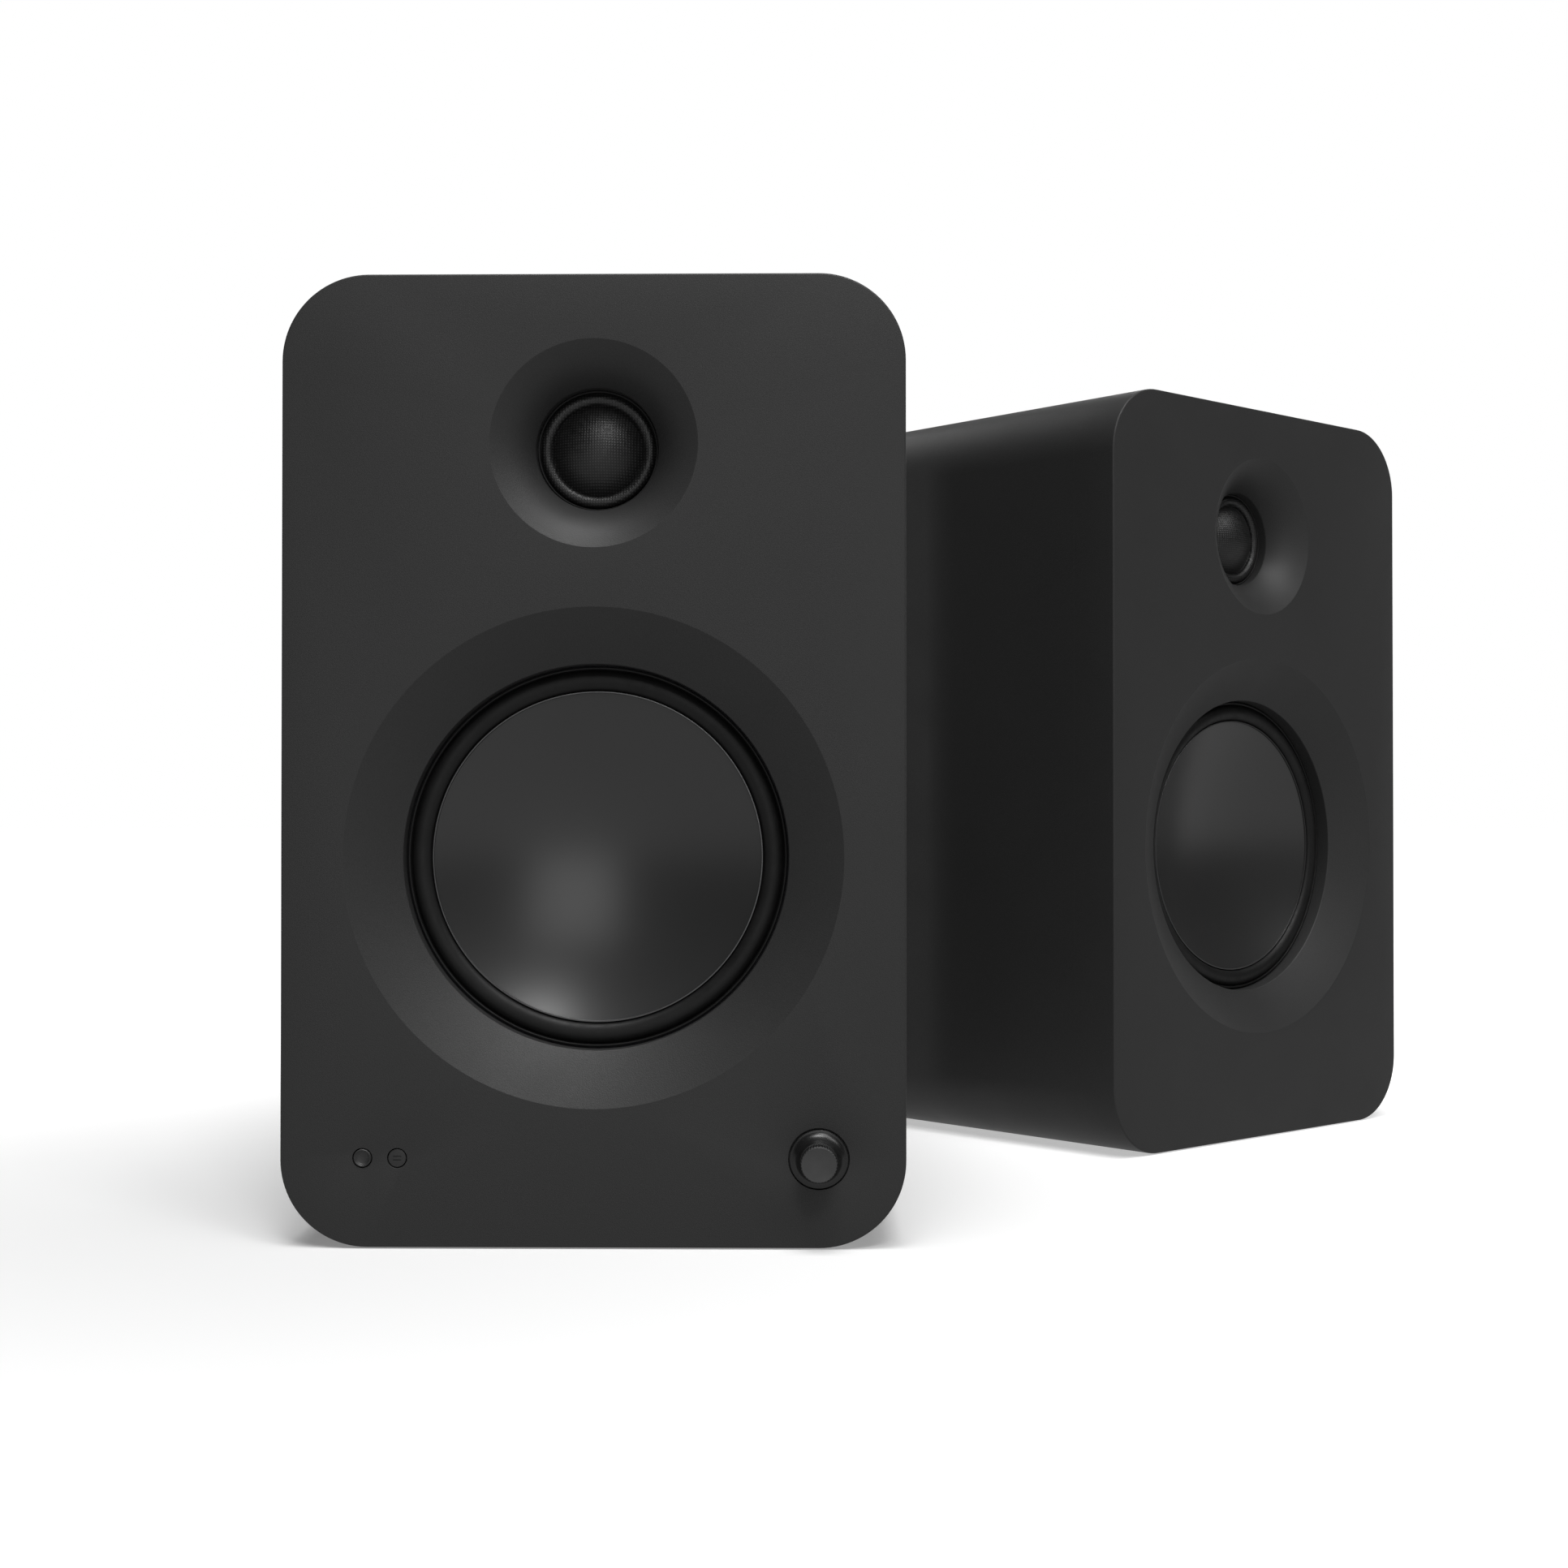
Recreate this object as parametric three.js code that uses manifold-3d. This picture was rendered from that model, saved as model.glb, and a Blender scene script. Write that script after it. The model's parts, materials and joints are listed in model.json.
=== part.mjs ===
// A pair of powered desktop speakers. The main speaker holds the amplifier, the sockets and the front
// controls; the satellite has the same cabinet and drivers and is fed from the main one.
// Millimetres, +Z up. Each speaker is modelled in its own frame: the front face lies in the plane y = 0
// and looks along -Y, x = 0 is the middle of the cabinet and z = 0 is the desk it stands on.
import * as THREE from "three";
import { mergeVertices } from "three/addons/utils/BufferGeometryUtils.js";
import Module from "manifold-3d";

const wasm = await Module();
wasm.setup();

// ---- driving dimensions -------------------------------------------------------------------------
const WIDTH = 176; // cabinet, side to side
const HEIGHT = 274; // cabinet, without its feet
const DEPTH = 225; // cabinet, front face to rear edge
const CORNER = 24.5; // radius of the four long edges
const WALL = 15; // sleeve thickness
const BAFFLE = 18; // front panel thickness
const REAR_THICK = 15; // rear panel thickness
const REAR_INSET = 3; // rear panel sits this far inside the sleeve
const GAP = 0.3; // clearance between pieces that meet

// Rubber pads let into the underside. They stand proud of it by the lift.
const FOOT = { lift: 0.4, recess: 1.5, radius: 8, x: 55, y: [30, 195] };

// The woofer's hole has a flat chamfer in front and a rebate behind, where the basket is bolted to its seat.
const WOOFER = { z: 109.8, flareRadius: 70.6, holeRadius: 55, holeDepth: 8.8, seat: 14.9, rebate: 66.8 };
const CONE = { radius: 47.5, rimDepth: 14.2, sag: 11, thick: 0.5 };
// Half roll between cone and basket, as an arc flattened by its rise, inside a raised gasket.
const ROLL = { radius: 50.6, half: 2.5, thick: 0.5, rise: 0.8, gasket: 12.8, glued: 45 };
const BASKET = {
  flange: 65.7,
  seat: 15.2,
  throat: 52.6,
  frontInner: 56,
  frontOuter: 59.5,
  neck: 42,
  neckFront: 41,
  ledge: 35.5, // the spider is glued to this
  ledgeFront: 39.8,
  ledgeBack: 42,
  base: 53,
  baseHole: 18,
  metal: 2.5,
};
const SPIDER = { outer: 39, depth: 38.6, waves: 3, height: 1.2, thick: 0.6 };
const COIL = { inner: 13, outer: 13.4, wound: 13.9, end: 62 };
const MOTOR = { front: BASKET.base + GAP, plateBack: 58.3, magnetBack: 74, back: 80 };
const MOTOR_RADII = { pole: 12.5, gap: 14.3, magnetHole: 17, plate: 34, yoke: 38, magnet: 42 };

// The tweeter's waveguide flares from its mouth to its throat, which goes straight on to the seat.
const TWEETER = { z: 226.6, flareRadius: 29.5, throatRadius: 17.6, throatDepth: 11.5, seat: 15, rebate: 33 };
const FLARE_START = 0.55; // slope at the mouth; it steepens towards the throat
const MOUNT = { bore: 16.9, lip: 17.3, front: 14.4 };
const DOME = { radius: 12.8, height: 5.6, edgeDepth: 15.4, thick: 0.35, rollRadius: 14.85, rollHalf: 1.75 };
const DOME_FORMER = 4.6; // length of the coil former behind the dome's edge
const TWEETER_MOTOR = { pole: 11.8, poleFront: 16.6, gap: 13.6, gapBack: 22, radius: 24, back: 36 };

const PORT = {
  z: 221.4,
  inner: 20,
  outer: 22.5,
  front: 135,
  mouth: 31,
  lip: 1.5,
  flange: 35,
  flangeThick: 2.2,
  flareLength: 24,
};

const CONTROLS_Z = 25.4; // height of the row of front controls
const KNOB = {
  x: 63.5,
  skirt: 8.2,
  skirtBack: 1,
  edge: 0.4,
  neck: 4.9,
  grip: 5.1,
  gripStart: 5.2,
  proud: 10.5,
};
const KNURL = { teeth: 36, depth: 0.3 };
const KNOB_RECESS = { clearance: 0.4, depth: 1.8, shaftHole: 4 };
const KNOB_SHAFT = { radius: 1.4, front: -8, back: 13.2 };
const ENCODER = { size: 12, front: 9, back: 14.7, rotor: 3, bore: 3.3 };
const BUTTON = {
  x: -55,
  radius: 2.55,
  face: 0.15,
  collar: 3.6,
  collarFront: 9,
  collarBack: 10,
  pin: 1.6,
  back: 12.9,
};
const LENS = { x: -64.8, radius: 2.55, back: 14.2 };
// Milled in the baffle's back for the controls.
const POCKET = { front: 8, halfWidth: 70.5, height: 17, above: 1 };
const CONTROL_BOARD = { front: 15, back: 16.6, margin: 1.5 };

const PLATE = { width: 118, height: 144, corner: 5, z: 104, thick: 2 }; // amplifier's rear plate
const AMP_OPENING = { width: 108, height: 134 };
const AMP_BOARD = { width: 104, height: 128, front: 203, back: 204.6 };
const SUPPLY = { width: 88, height: 60, z: 82, front: 182, back: 183.6 };
const CROSSOVER = { width: 80, height: 56, z: 130, behind: 6, thick: 1.6 }; // behind: ahead of the rear panel
const SATELLITE_TERMINALS_Z = 70;
const SATELLITE = { x: 231.7, y: 217.8, turn: 42.9 }; // where it stands and how far it is turned, degrees

// How finely round pieces are faceted: sides on large, medium and small circles.
const LARGE_SIDES = 28;
const SIDES = 20;
const SMALL_SIDES = 12;
const CORNER_STEPS = 4; // facets on each long edge of the cabinet

// Heights and depths that follow from them.
const BOX_MID = FOOT.lift + HEIGHT / 2;
const REAR_FACE = DEPTH - REAR_INSET;
const REAR_FRONT = REAR_FACE - REAR_THICK;
const PLATE_FRONT = REAR_FACE + GAP;
const PLATE_BACK = PLATE_FRONT + PLATE.thick;
const FLANGE_FRONT = PLATE_BACK + GAP; // front of whatever is fixed on the outside of the plate

// ---- materials ----------------------------------------------------------------------------------
const material = (color, roughness, metalness) =>
  new THREE.MeshStandardMaterial({ color, roughness, metalness });
const PAINT = material(0x1c1c1c, 0.6, 0);
const RUBBER = material(0x0e0e0e, 0.7, 0);
const CONE_METAL = material(0x2b2b2b, 0.4, 0.3);
const SILK = material(0x101010, 0.8, 0);
const PLASTIC = material(0x141414, 0.5, 0);
const GLOSS = material(0x0a0a0a, 0.1, 0);
const STEEL = material(0x8a8c90, 0.35, 1);
const FERRITE = material(0x2a2a2c, 0.7, 0);
const BOARD = material(0x1d4a2c, 0.6, 0);
const PAPER = material(0xb89a62, 0.9, 0);
const RED = material(0x7a1512, 0.4, 0);
const COATED_ALU = material(0x151515, 0.5, 0.2);

// ---- making solids ------------------------------------------------------------------------------
const v2 = (x, y) => new THREE.Vector2(x, y);
const range = (n) => [...Array(n).keys()];

function toSolid(geometry) {
  const bare = geometry.clone();
  bare.deleteAttribute("normal");
  bare.deleteAttribute("uv");
  const merged = mergeVertices(bare, 1e-4);
  return new wasm.Manifold(
    new wasm.Mesh({
      numProp: 3,
      vertProperties: merged.attributes.position.array,
      triVerts: new Uint32Array(merged.index.array),
    }),
  );
}

function toGeometry(solid) {
  const mesh = solid.getMesh();
  const geometry = new THREE.BufferGeometry();
  geometry.setAttribute("position", new THREE.BufferAttribute(mesh.vertProperties, 3));
  geometry.setIndex(new THREE.BufferAttribute(mesh.triVerts, 1));
  geometry.computeVertexNormals();
  return geometry;
}

const cut = (base, ...tools) =>
  toGeometry(tools.reduce((left, tool) => left.subtract(toSolid(tool)), toSolid(base)));
const join = (base, ...others) =>
  toGeometry(others.reduce((sum, other) => sum.add(toSolid(other)), toSolid(base)));

// Turns a profile of [radius, y] points round the Y axis, faces outwards whichever way it runs.
function revolve(profile, segments = SIDES) {
  const area = profile.reduce((sum, [r, y], i) => {
    const [r2, y2] = profile[(i + 1) % profile.length];
    return sum + r * y2 - r2 * y;
  }, 0);
  const points = (area > 0 ? profile : [...profile].reverse()).map(([r, y]) => v2(r, y));
  const startsOnAxis = points.findIndex((p, i) => p.x === 0 && points.at(i - 1).x === 0);
  const ordered =
    startsOnAxis >= 0
      ? [...points.slice(startsOnAxis), ...points.slice(0, startsOnAxis)]
      : [...points, points[0]];
  return new THREE.LatheGeometry(ordered, segments);
}

function roundedRect(width, height, radius, x = 0, z = 0) {
  const [w, h] = [width / 2, height / 2];
  const shape = new THREE.Shape();
  shape.moveTo(x - w + radius, z - h);
  shape.absarc(x + w - radius, z - h + radius, radius, -Math.PI / 2, 0);
  shape.absarc(x + w - radius, z + h - radius, radius, 0, Math.PI / 2);
  shape.absarc(x - w + radius, z + h - radius, radius, Math.PI / 2, Math.PI);
  shape.absarc(x - w + radius, z - h + radius, radius, Math.PI, 1.5 * Math.PI);
  return shape;
}

// A shape drawn in x and z, made solid from yFront to yBack.
function plate(shape, yFront, yBack, curveSegments = 4) {
  const options = { depth: yBack - yFront, bevelEnabled: false, curveSegments };
  return new THREE.ExtrudeGeometry(shape, options).rotateX(Math.PI / 2).translate(0, yBack, 0);
}

const box = (width, height, yFront, yBack, x = 0, z = 0) =>
  new THREE.BoxGeometry(width, yBack - yFront, height).translate(x, (yFront + yBack) / 2, z);

// An upright disc on the desk's side.
const disc = (radius, zLow, zHigh, x, y) =>
  new THREE.CylinderGeometry(radius, radius, zHigh - zLow, SMALL_SIDES)
    .rotateX(Math.PI / 2)
    .translate(x, y, (zLow + zHigh) / 2);

const rod = (radius, yFront, yBack, x = 0, z = 0, segments = SMALL_SIDES) =>
  new THREE.CylinderGeometry(radius, radius, yBack - yFront, segments).translate(
    x,
    (yFront + yBack) / 2,
    z,
  );

function piece(name, geometry, finish, x = 0, z = 0) {
  const mesh = new THREE.Mesh(geometry, finish);
  mesh.name = name;
  mesh.position.set(x, 0, z);
  return mesh;
}

// ---- cabinet ------------------------------------------------------------------------------------
function wooferHole() {
  const slope = (WOOFER.flareRadius - WOOFER.holeRadius) / WOOFER.holeDepth;
  return revolve(
    [
      [0, -1],
      [WOOFER.flareRadius + slope, -1],
      [WOOFER.holeRadius, WOOFER.holeDepth],
      [WOOFER.holeRadius, WOOFER.seat],
      [WOOFER.rebate, WOOFER.seat],
      [WOOFER.rebate, BAFFLE + 1],
      [0, BAFFLE + 1],
    ],
    LARGE_SIDES,
  ).translate(0, 0, WOOFER.z);
}

// Radius and depth along the waveguide, from its mouth to its throat.
function flare(steps) {
  const span = TWEETER.flareRadius - TWEETER.throatRadius;
  const bend = (TWEETER.throatDepth - FLARE_START * span) / span ** 3;
  return range(steps + 1).map((i) => {
    const t = (span * i) / steps;
    return [TWEETER.flareRadius - t, FLARE_START * t + bend * t ** 3];
  });
}

function tweeterHole() {
  return revolve(
    [
      [0, -1],
      [TWEETER.flareRadius + 1 / FLARE_START, -1],
      ...flare(4),
      [TWEETER.throatRadius, TWEETER.seat],
      [TWEETER.rebate, TWEETER.seat],
      [TWEETER.rebate, BAFFLE + 1],
      [0, BAFFLE + 1],
    ],
    LARGE_SIDES,
  ).translate(0, 0, TWEETER.z);
}

function controlCuts() {
  const hole = (radius, x) => rod(radius, -1, POCKET.front + 1, x, CONTROLS_Z);
  const { clearance, depth, shaftHole } = KNOB_RECESS;
  const pocketZ = CONTROLS_Z + POCKET.above;
  return [
    rod(KNOB.skirt + clearance, -1, depth, KNOB.x, CONTROLS_Z, SIDES),
    hole(shaftHole, KNOB.x),
    hole(BUTTON.radius + 0.25, BUTTON.x),
    hole(LENS.radius + 0.25, LENS.x),
    box(2 * POCKET.halfWidth, POCKET.height, POCKET.front, BAFFLE + 1, 0, pocketZ),
  ];
}

function baffle(extraCuts = []) {
  const outline = roundedRect(WIDTH, HEIGHT, CORNER, 0, BOX_MID);
  return cut(plate(outline, 0, BAFFLE, CORNER_STEPS), wooferHole(), tweeterHole(), ...extraCuts);
}

function sleeve() {
  const outer = roundedRect(WIDTH, HEIGHT, CORNER, 0, BOX_MID);
  outer.holes.push(roundedRect(WIDTH - 2 * WALL, HEIGHT - 2 * WALL, CORNER - WALL, 0, BOX_MID));
  const recesses = FOOT.y.flatMap((y) =>
    [-1, 1].map((side) => disc(FOOT.radius + GAP, -1, FOOT.lift + FOOT.recess, side * FOOT.x, y)),
  );
  return cut(plate(outer, BAFFLE + GAP, DEPTH, CORNER_STEPS), ...recesses);
}

function rearPanel(opening) {
  const inside = 2 * (WALL + GAP);
  const panel = roundedRect(WIDTH - inside, HEIGHT - inside, CORNER - WALL, 0, BOX_MID);
  const portHole = rod(PORT.mouth + GAP + 0.4, REAR_FRONT - 1, DEPTH, 0, PORT.z, SIDES);
  const cutOut = box(opening.width, opening.height, REAR_FRONT - 1, DEPTH, 0, opening.z);
  return cut(plate(panel, REAR_FRONT, REAR_FACE), portHole, cutOut);
}

// Reflex port: a straight tube that flares into its flange on the rear panel.
function portTube() {
  const [back, steps] = [REAR_FACE + GAP + PORT.flangeThick, 4];
  const mouth = PORT.mouth - PORT.lip;
  const flared = range(steps + 1).map((i) => {
    const angle = (Math.PI / 2) * (i / steps);
    return [
      mouth - (mouth - PORT.inner) * Math.sin(angle),
      back - PORT.flareLength * (1 - Math.cos(angle)),
    ];
  });
  return revolve(
    [
      [PORT.outer, PORT.front],
      [PORT.outer, REAR_FRONT - 10],
      [PORT.mouth, REAR_FRONT + 4],
      [PORT.mouth, REAR_FACE + GAP],
      [PORT.flange, REAR_FACE + GAP],
      [PORT.flange, back],
      ...flared,
      [PORT.inner, PORT.front],
    ],
    SIDES,
  ).translate(0, 0, PORT.z);
}

const foot = (x, y) => disc(FOOT.radius, 0, FOOT.lift + FOOT.recess - GAP, x, y);

// ---- woofer, all turned round its own axis ------------------------------------------------------
const dishDepth = (r) => CONE.rimDepth + CONE.sag * (1 - (r / CONE.radius) ** 2);

function cone() {
  const radii = range(5).map((i) => (CONE.radius * i) / 4);
  const front = radii.map((r) => [r, dishDepth(r)]);
  const back = radii.reverse().map((r) => [r, dishDepth(r) + CONE.thick]);
  return revolve([...front, ...back], LARGE_SIDES);
}

function surround() {
  const [outer, inner] = [ROLL.half + ROLL.thick / 2, ROLL.half - ROLL.thick / 2];
  const [seat, steps] = [CONE.rimDepth + 0.1, 4];
  const arc = (half) =>
    range(steps + 1).map((i) => {
      const angle = (Math.PI * i) / steps;
      return [ROLL.radius + half * Math.cos(angle), seat - ROLL.rise * half * Math.sin(angle)];
    });
  const lip = WOOFER.holeRadius - 2 * GAP;
  const gasketInner = ROLL.radius + outer + GAP;
  const behind = (r) => dishDepth(r) + CONE.thick + GAP; // its inner lip is glued behind the cone's rim
  return revolve(
    [
      [lip, ROLL.gasket],
      [gasketInner, ROLL.gasket],
      [gasketInner, seat - ROLL.thick / 2],
      ...arc(outer),
      [ROLL.radius - outer, behind(CONE.radius)],
      [ROLL.glued, behind(ROLL.glued)],
      [ROLL.glued, behind(ROLL.glued) + ROLL.thick],
      [ROLL.radius - inner, behind(CONE.radius) + ROLL.thick],
      ...arc(inner).reverse(),
      [lip, seat + ROLL.thick / 2],
    ],
    LARGE_SIDES,
  );
}

function basket() {
  const B = BASKET;
  const shell = revolve(
    [
      [B.throat, B.seat],
      [B.flange, B.seat],
      [B.flange, BAFFLE],
      [B.frontOuter, BAFFLE],
      [B.neck, B.neckFront],
      [B.neck, B.base],
      [B.baseHole, B.base],
      [B.baseHole, B.base - B.metal],
      [B.neck - B.metal, B.base - B.metal],
      [B.neck - B.metal, B.ledgeBack],
      [B.ledge, B.ledgeBack],
      [B.ledge, B.ledgeFront],
      [B.neck - 2, B.ledgeFront],
      [B.frontInner, BAFFLE],
      [B.throat, BAFFLE],
    ],
    SIDES,
  );
  const windows = range(4).map((i) =>
    new THREE.BoxGeometry(40, 14, 44)
      .translate(0, 29, 52)
      .rotateY(((i + 0.5) * Math.PI) / 2),
  );
  return cut(shell, ...windows);
}

// Corrugated disc that centres the voice coil.
function spider() {
  const inner = COIL.wound + 0.2;
  const count = 2 * SPIDER.waves;
  const front = range(count + 1).map((i) => [
    inner + ((SPIDER.outer - inner) * i) / count,
    SPIDER.depth - (i % 2 ? SPIDER.height : 0),
  ]);
  const back = [...front].reverse().map(([r, depth]) => [r, depth + SPIDER.thick]);
  return revolve([...front, ...back]);
}

function voiceCoil() {
  const top = dishDepth(COIL.outer) + CONE.thick + 2 * GAP;
  return revolve(
    [
      [COIL.inner, top],
      [COIL.outer, top],
      [COIL.outer, COIL.end - 10],
      [COIL.wound, COIL.end - 10],
      [COIL.wound, COIL.end],
      [COIL.inner, COIL.end],
    ],
    SIDES,
  );
}

// Ferrite ring with the steel front plate that is bonded to it.
function wooferMagnet() {
  const { gap, magnetHole, plate: plateRadius, magnet } = MOTOR_RADII;
  return revolve(
    [
      [gap, MOTOR.front],
      [plateRadius, MOTOR.front],
      [plateRadius, MOTOR.plateBack],
      [magnet, MOTOR.plateBack],
      [magnet, MOTOR.magnetBack],
      [magnetHole, MOTOR.magnetBack],
      [magnetHole, MOTOR.plateBack],
      [gap, MOTOR.plateBack],
    ],
    SIDES,
  );
}

function poleYoke() {
  const { pole, yoke } = MOTOR_RADII;
  return revolve(
    [
      [0, MOTOR.front],
      [pole, MOTOR.front],
      [pole, MOTOR.magnetBack + GAP],
      [yoke, MOTOR.magnetBack + GAP],
      [yoke, MOTOR.back],
      [0, MOTOR.back],
    ],
    SIDES,
  );
}

// ---- tweeter ------------------------------------------------------------------------------------
function tweeterMount() {
  const [outer, seat] = [TWEETER.rebate - GAP, TWEETER.seat + GAP];
  return revolve(
    [
      [MOUNT.bore, MOUNT.front],
      [MOUNT.lip, MOUNT.front],
      [MOUNT.lip, seat],
      [outer, seat],
      [outer, BAFFLE],
      [MOUNT.bore, BAFFLE],
    ],
    SIDES,
  );
}

// Silk dome, its roll and its coil former: one bonded diaphragm.
function tweeterDome() {
  const sphere = (DOME.radius ** 2 + DOME.height ** 2) / (2 * DOME.height);
  const edge = Math.asin(DOME.radius / sphere);
  const cap = (inset) =>
    range(4).map((i) => {
      const angle = (edge * i) / 3;
      const y = DOME.edgeDepth - DOME.height + sphere - (sphere - inset) * Math.cos(angle);
      return [(sphere - inset) * Math.sin(angle), y];
    });
  const rollArc = (half) =>
    range(5).map((i) => {
      const angle = (Math.PI * i) / 4;
      return [DOME.rollRadius - half * Math.cos(angle), DOME.edgeDepth - half * Math.sin(angle)];
    });
  const former = DOME.radius - DOME.thick;
  return revolve(
    [
      ...cap(0),
      ...rollArc(DOME.rollHalf),
      ...rollArc(DOME.rollHalf - DOME.thick).reverse(),
      [DOME.radius, DOME.edgeDepth + 0.2],
      [DOME.radius, DOME.edgeDepth + DOME_FORMER],
      [former, DOME.edgeDepth + DOME_FORMER],
      ...cap(DOME.thick).reverse(),
    ],
    SIDES,
  );
}

function tweeterMagnet() {
  const { pole, poleFront, gap, gapBack, radius, back } = TWEETER_MOTOR;
  return revolve(
    [
      [0, poleFront],
      [pole, poleFront],
      [pole, gapBack],
      [gap, gapBack],
      [gap, BAFFLE + GAP],
      [radius, BAFFLE + GAP],
      [radius, back],
      [0, back],
    ],
    SMALL_SIDES,
  );
}

// ---- front controls -----------------------------------------------------------------------------
// A knurled grip on a skirt that spreads like a trumpet's bell.
function volumeKnob() {
  const steps = 4;
  const bell = range(steps).map((i) => {
    const angle = (Math.PI / 2) * ((i + 1) / steps);
    return [
      KNOB.skirt - (KNOB.skirt - KNOB.neck) * Math.sin(angle),
      -KNOB.edge - (KNOB.gripStart - KNOB.edge) * (1 - Math.cos(angle)),
    ];
  });
  const skirt = revolve(
    [
      [0, KNOB.skirtBack],
      [KNOB.skirt, KNOB.skirtBack],
      [KNOB.skirt, -KNOB.edge],
      ...bell,
      [0, -KNOB.gripStart],
    ],
    SIDES,
  );
  const grip = new THREE.Shape(
    range(2 * KNURL.teeth).map((i) => {
      const angle = (Math.PI * i) / KNURL.teeth;
      const radius = KNOB.grip - (i % 2 ? KNURL.depth : 0);
      return v2(radius * Math.cos(angle), radius * Math.sin(angle));
    }),
  );
  const bore = rod(KNOB_SHAFT.radius + GAP, KNOB_SHAFT.front - GAP, KNOB.skirtBack + 1);
  return cut(join(plate(grip, -KNOB.proud, 0.6 - KNOB.gripStart), skirt), bore);
}

function encoderHousing() {
  const body = box(ENCODER.size, ENCODER.size, ENCODER.front, ENCODER.back);
  return cut(body, rod(ENCODER.bore, ENCODER.front - 1, ENCODER.back - 0.7));
}

function encoderRotor() {
  const [front, back] = [ENCODER.front - 0.5, ENCODER.back - 1.4];
  return revolve([
    [KNOB_SHAFT.radius + GAP, front],
    [ENCODER.rotor, front],
    [ENCODER.rotor, back],
    [KNOB_SHAFT.radius + GAP, back],
  ]);
}

// Turned in one piece with the collar that keeps it in its hole.
function sourceButton() {
  return revolve(
    [
      [0, BUTTON.face],
      [BUTTON.radius - 0.15, BUTTON.face],
      [BUTTON.radius, BUTTON.face + 0.15],
      [BUTTON.radius, BUTTON.collarFront],
      [BUTTON.collar, BUTTON.collarFront],
      [BUTTON.collar, BUTTON.collarBack],
      [BUTTON.pin, BUTTON.collarBack],
      [BUTTON.pin, BUTTON.back],
      [0, BUTTON.back],
    ],
    SMALL_SIDES,
  );
}

// Clear light guide with a raised rim round a dished face.
function statusLens() {
  return revolve(
    [
      [0, 0.45],
      [1.2, 0.3],
      [1.85, -0.05],
      [2.15, -0.2],
      [LENS.radius, 0.1],
      [LENS.radius, LENS.back],
      [0, LENS.back],
    ],
    SMALL_SIDES,
  );
}

function controlBoard() {
  const { front, back, margin } = CONTROL_BOARD;
  const [width, height] = [2 * (POCKET.halfWidth - margin), POCKET.height - 2 * margin];
  const board = box(width, height, front, back, 0, CONTROLS_Z + POCKET.above);
  const tactSwitch = box(6, 6, front - 1, front + 0.5, BUTTON.x, CONTROLS_Z);
  const led = rod(1.5, front - 0.5, front + 0.5, LENS.x, CONTROLS_Z);
  return join(board, tactSwitch, led);
}

// ---- amplifier module on the main speaker's rear ------------------------------------------------
const SOCKETS = {
  inlet: { x: 31, z: 52 },
  terminals: { x: -30, z: 54 },
  rca: { x: -24, z: 94, pitch: 16, radius: 4.2 },
  aux: { x: 22, z: 94, radius: 3.3 },
  hdmi: { x: -34, z: 130, width: 15.4, height: 6.4, wall: 0.7, tongue: 1.4, front: 207 },
  usb: { x: -6, z: 130, width: 9.6, height: 4, wall: 0.5, tongue: 0.8, front: 209 },
  optical: { x: 22, z: 130, width: 12, height: 12, bore: 8.6 },
};
const JACK_BORE = 1.8; // radius of the hole that takes a round plug's pin
const INLET = { width: 46, height: 22, front: 209, flange: 1.6, socketX: -11, rockerX: 13 };
const ROCKER = { width: 10.4, pivot: FLANGE_FRONT - 5, tilt: 8, halfFace: 8.4, halfBack: 7.2, dip: 1.4 };
const BLOCK = { width: 40, height: 18, front: 214, studX: 9.5, studRadius: 2, studEnd: 241 };
const CAP = { radius: 6.4, front: 227.6, back: 240, bore: 2.4, flutes: 12, fluteDepth: 0.5 };

function ampPlate() {
  const [front, back] = [PLATE_FRONT - 1, PLATE_BACK + 1];
  const slot = (at, { width, height } = at) =>
    box(width + 2 * GAP, height + 2 * GAP, front, back, at.x, at.z);
  const hole = (at, x = at.x) => rod(at.radius + GAP, front, back, x, at.z);
  const { inlet, terminals, rca, aux, hdmi, usb, optical } = SOCKETS;
  return cut(
    plate(roundedRect(PLATE.width, PLATE.height, PLATE.corner, 0, PLATE.z), PLATE_FRONT, PLATE_BACK),
    slot(inlet, INLET),
    slot(terminals, BLOCK),
    ...[-1, 0, 1].map((i) => hole(rca, rca.x + i * rca.pitch)),
    hole(aux),
    slot(hdmi),
    slot(usb),
    slot(optical),
  );
}

// Mains inlet and power switch in one moulding; two pins stand in the inlet's recess.
function acInlet() {
  const back = FLANGE_FRONT + INLET.flange;
  const moulding = join(
    box(INLET.width, INLET.height, INLET.front, FLANGE_FRONT + 0.1),
    box(INLET.width + 6, INLET.height + 4, FLANGE_FRONT, back),
  );
  const recess = plate(roundedRect(18, 9.6, 4.4, INLET.socketX, 0), 212, back + 1);
  const well = box(12, 20, 213, back + 1, INLET.rockerX, 0);
  const pins = [-4.3, 4.3].map((x) => rod(1.2, 211, back - 4, INLET.socketX + x, 0));
  return join(cut(moulding, recess, well), ...pins);
}

// Rocker with a shallow V face, resting on its off side.
function rocker() {
  const face = FLANGE_FRONT + 1.2 - ROCKER.pivot;
  const profile = new THREE.Shape([
    v2(-ROCKER.halfFace, face),
    v2(-ROCKER.halfBack, -3),
    v2(ROCKER.halfBack, -3),
    v2(ROCKER.halfFace, face),
    v2(0, face - ROCKER.dip),
  ]);
  return new THREE.ExtrudeGeometry(profile, { depth: ROCKER.width, bevelEnabled: false })
    .translate(0, 0, -ROCKER.width / 2)
    .rotateY(Math.PI / 2)
    .rotateX(THREE.MathUtils.degToRad(ROCKER.tilt));
}

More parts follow.
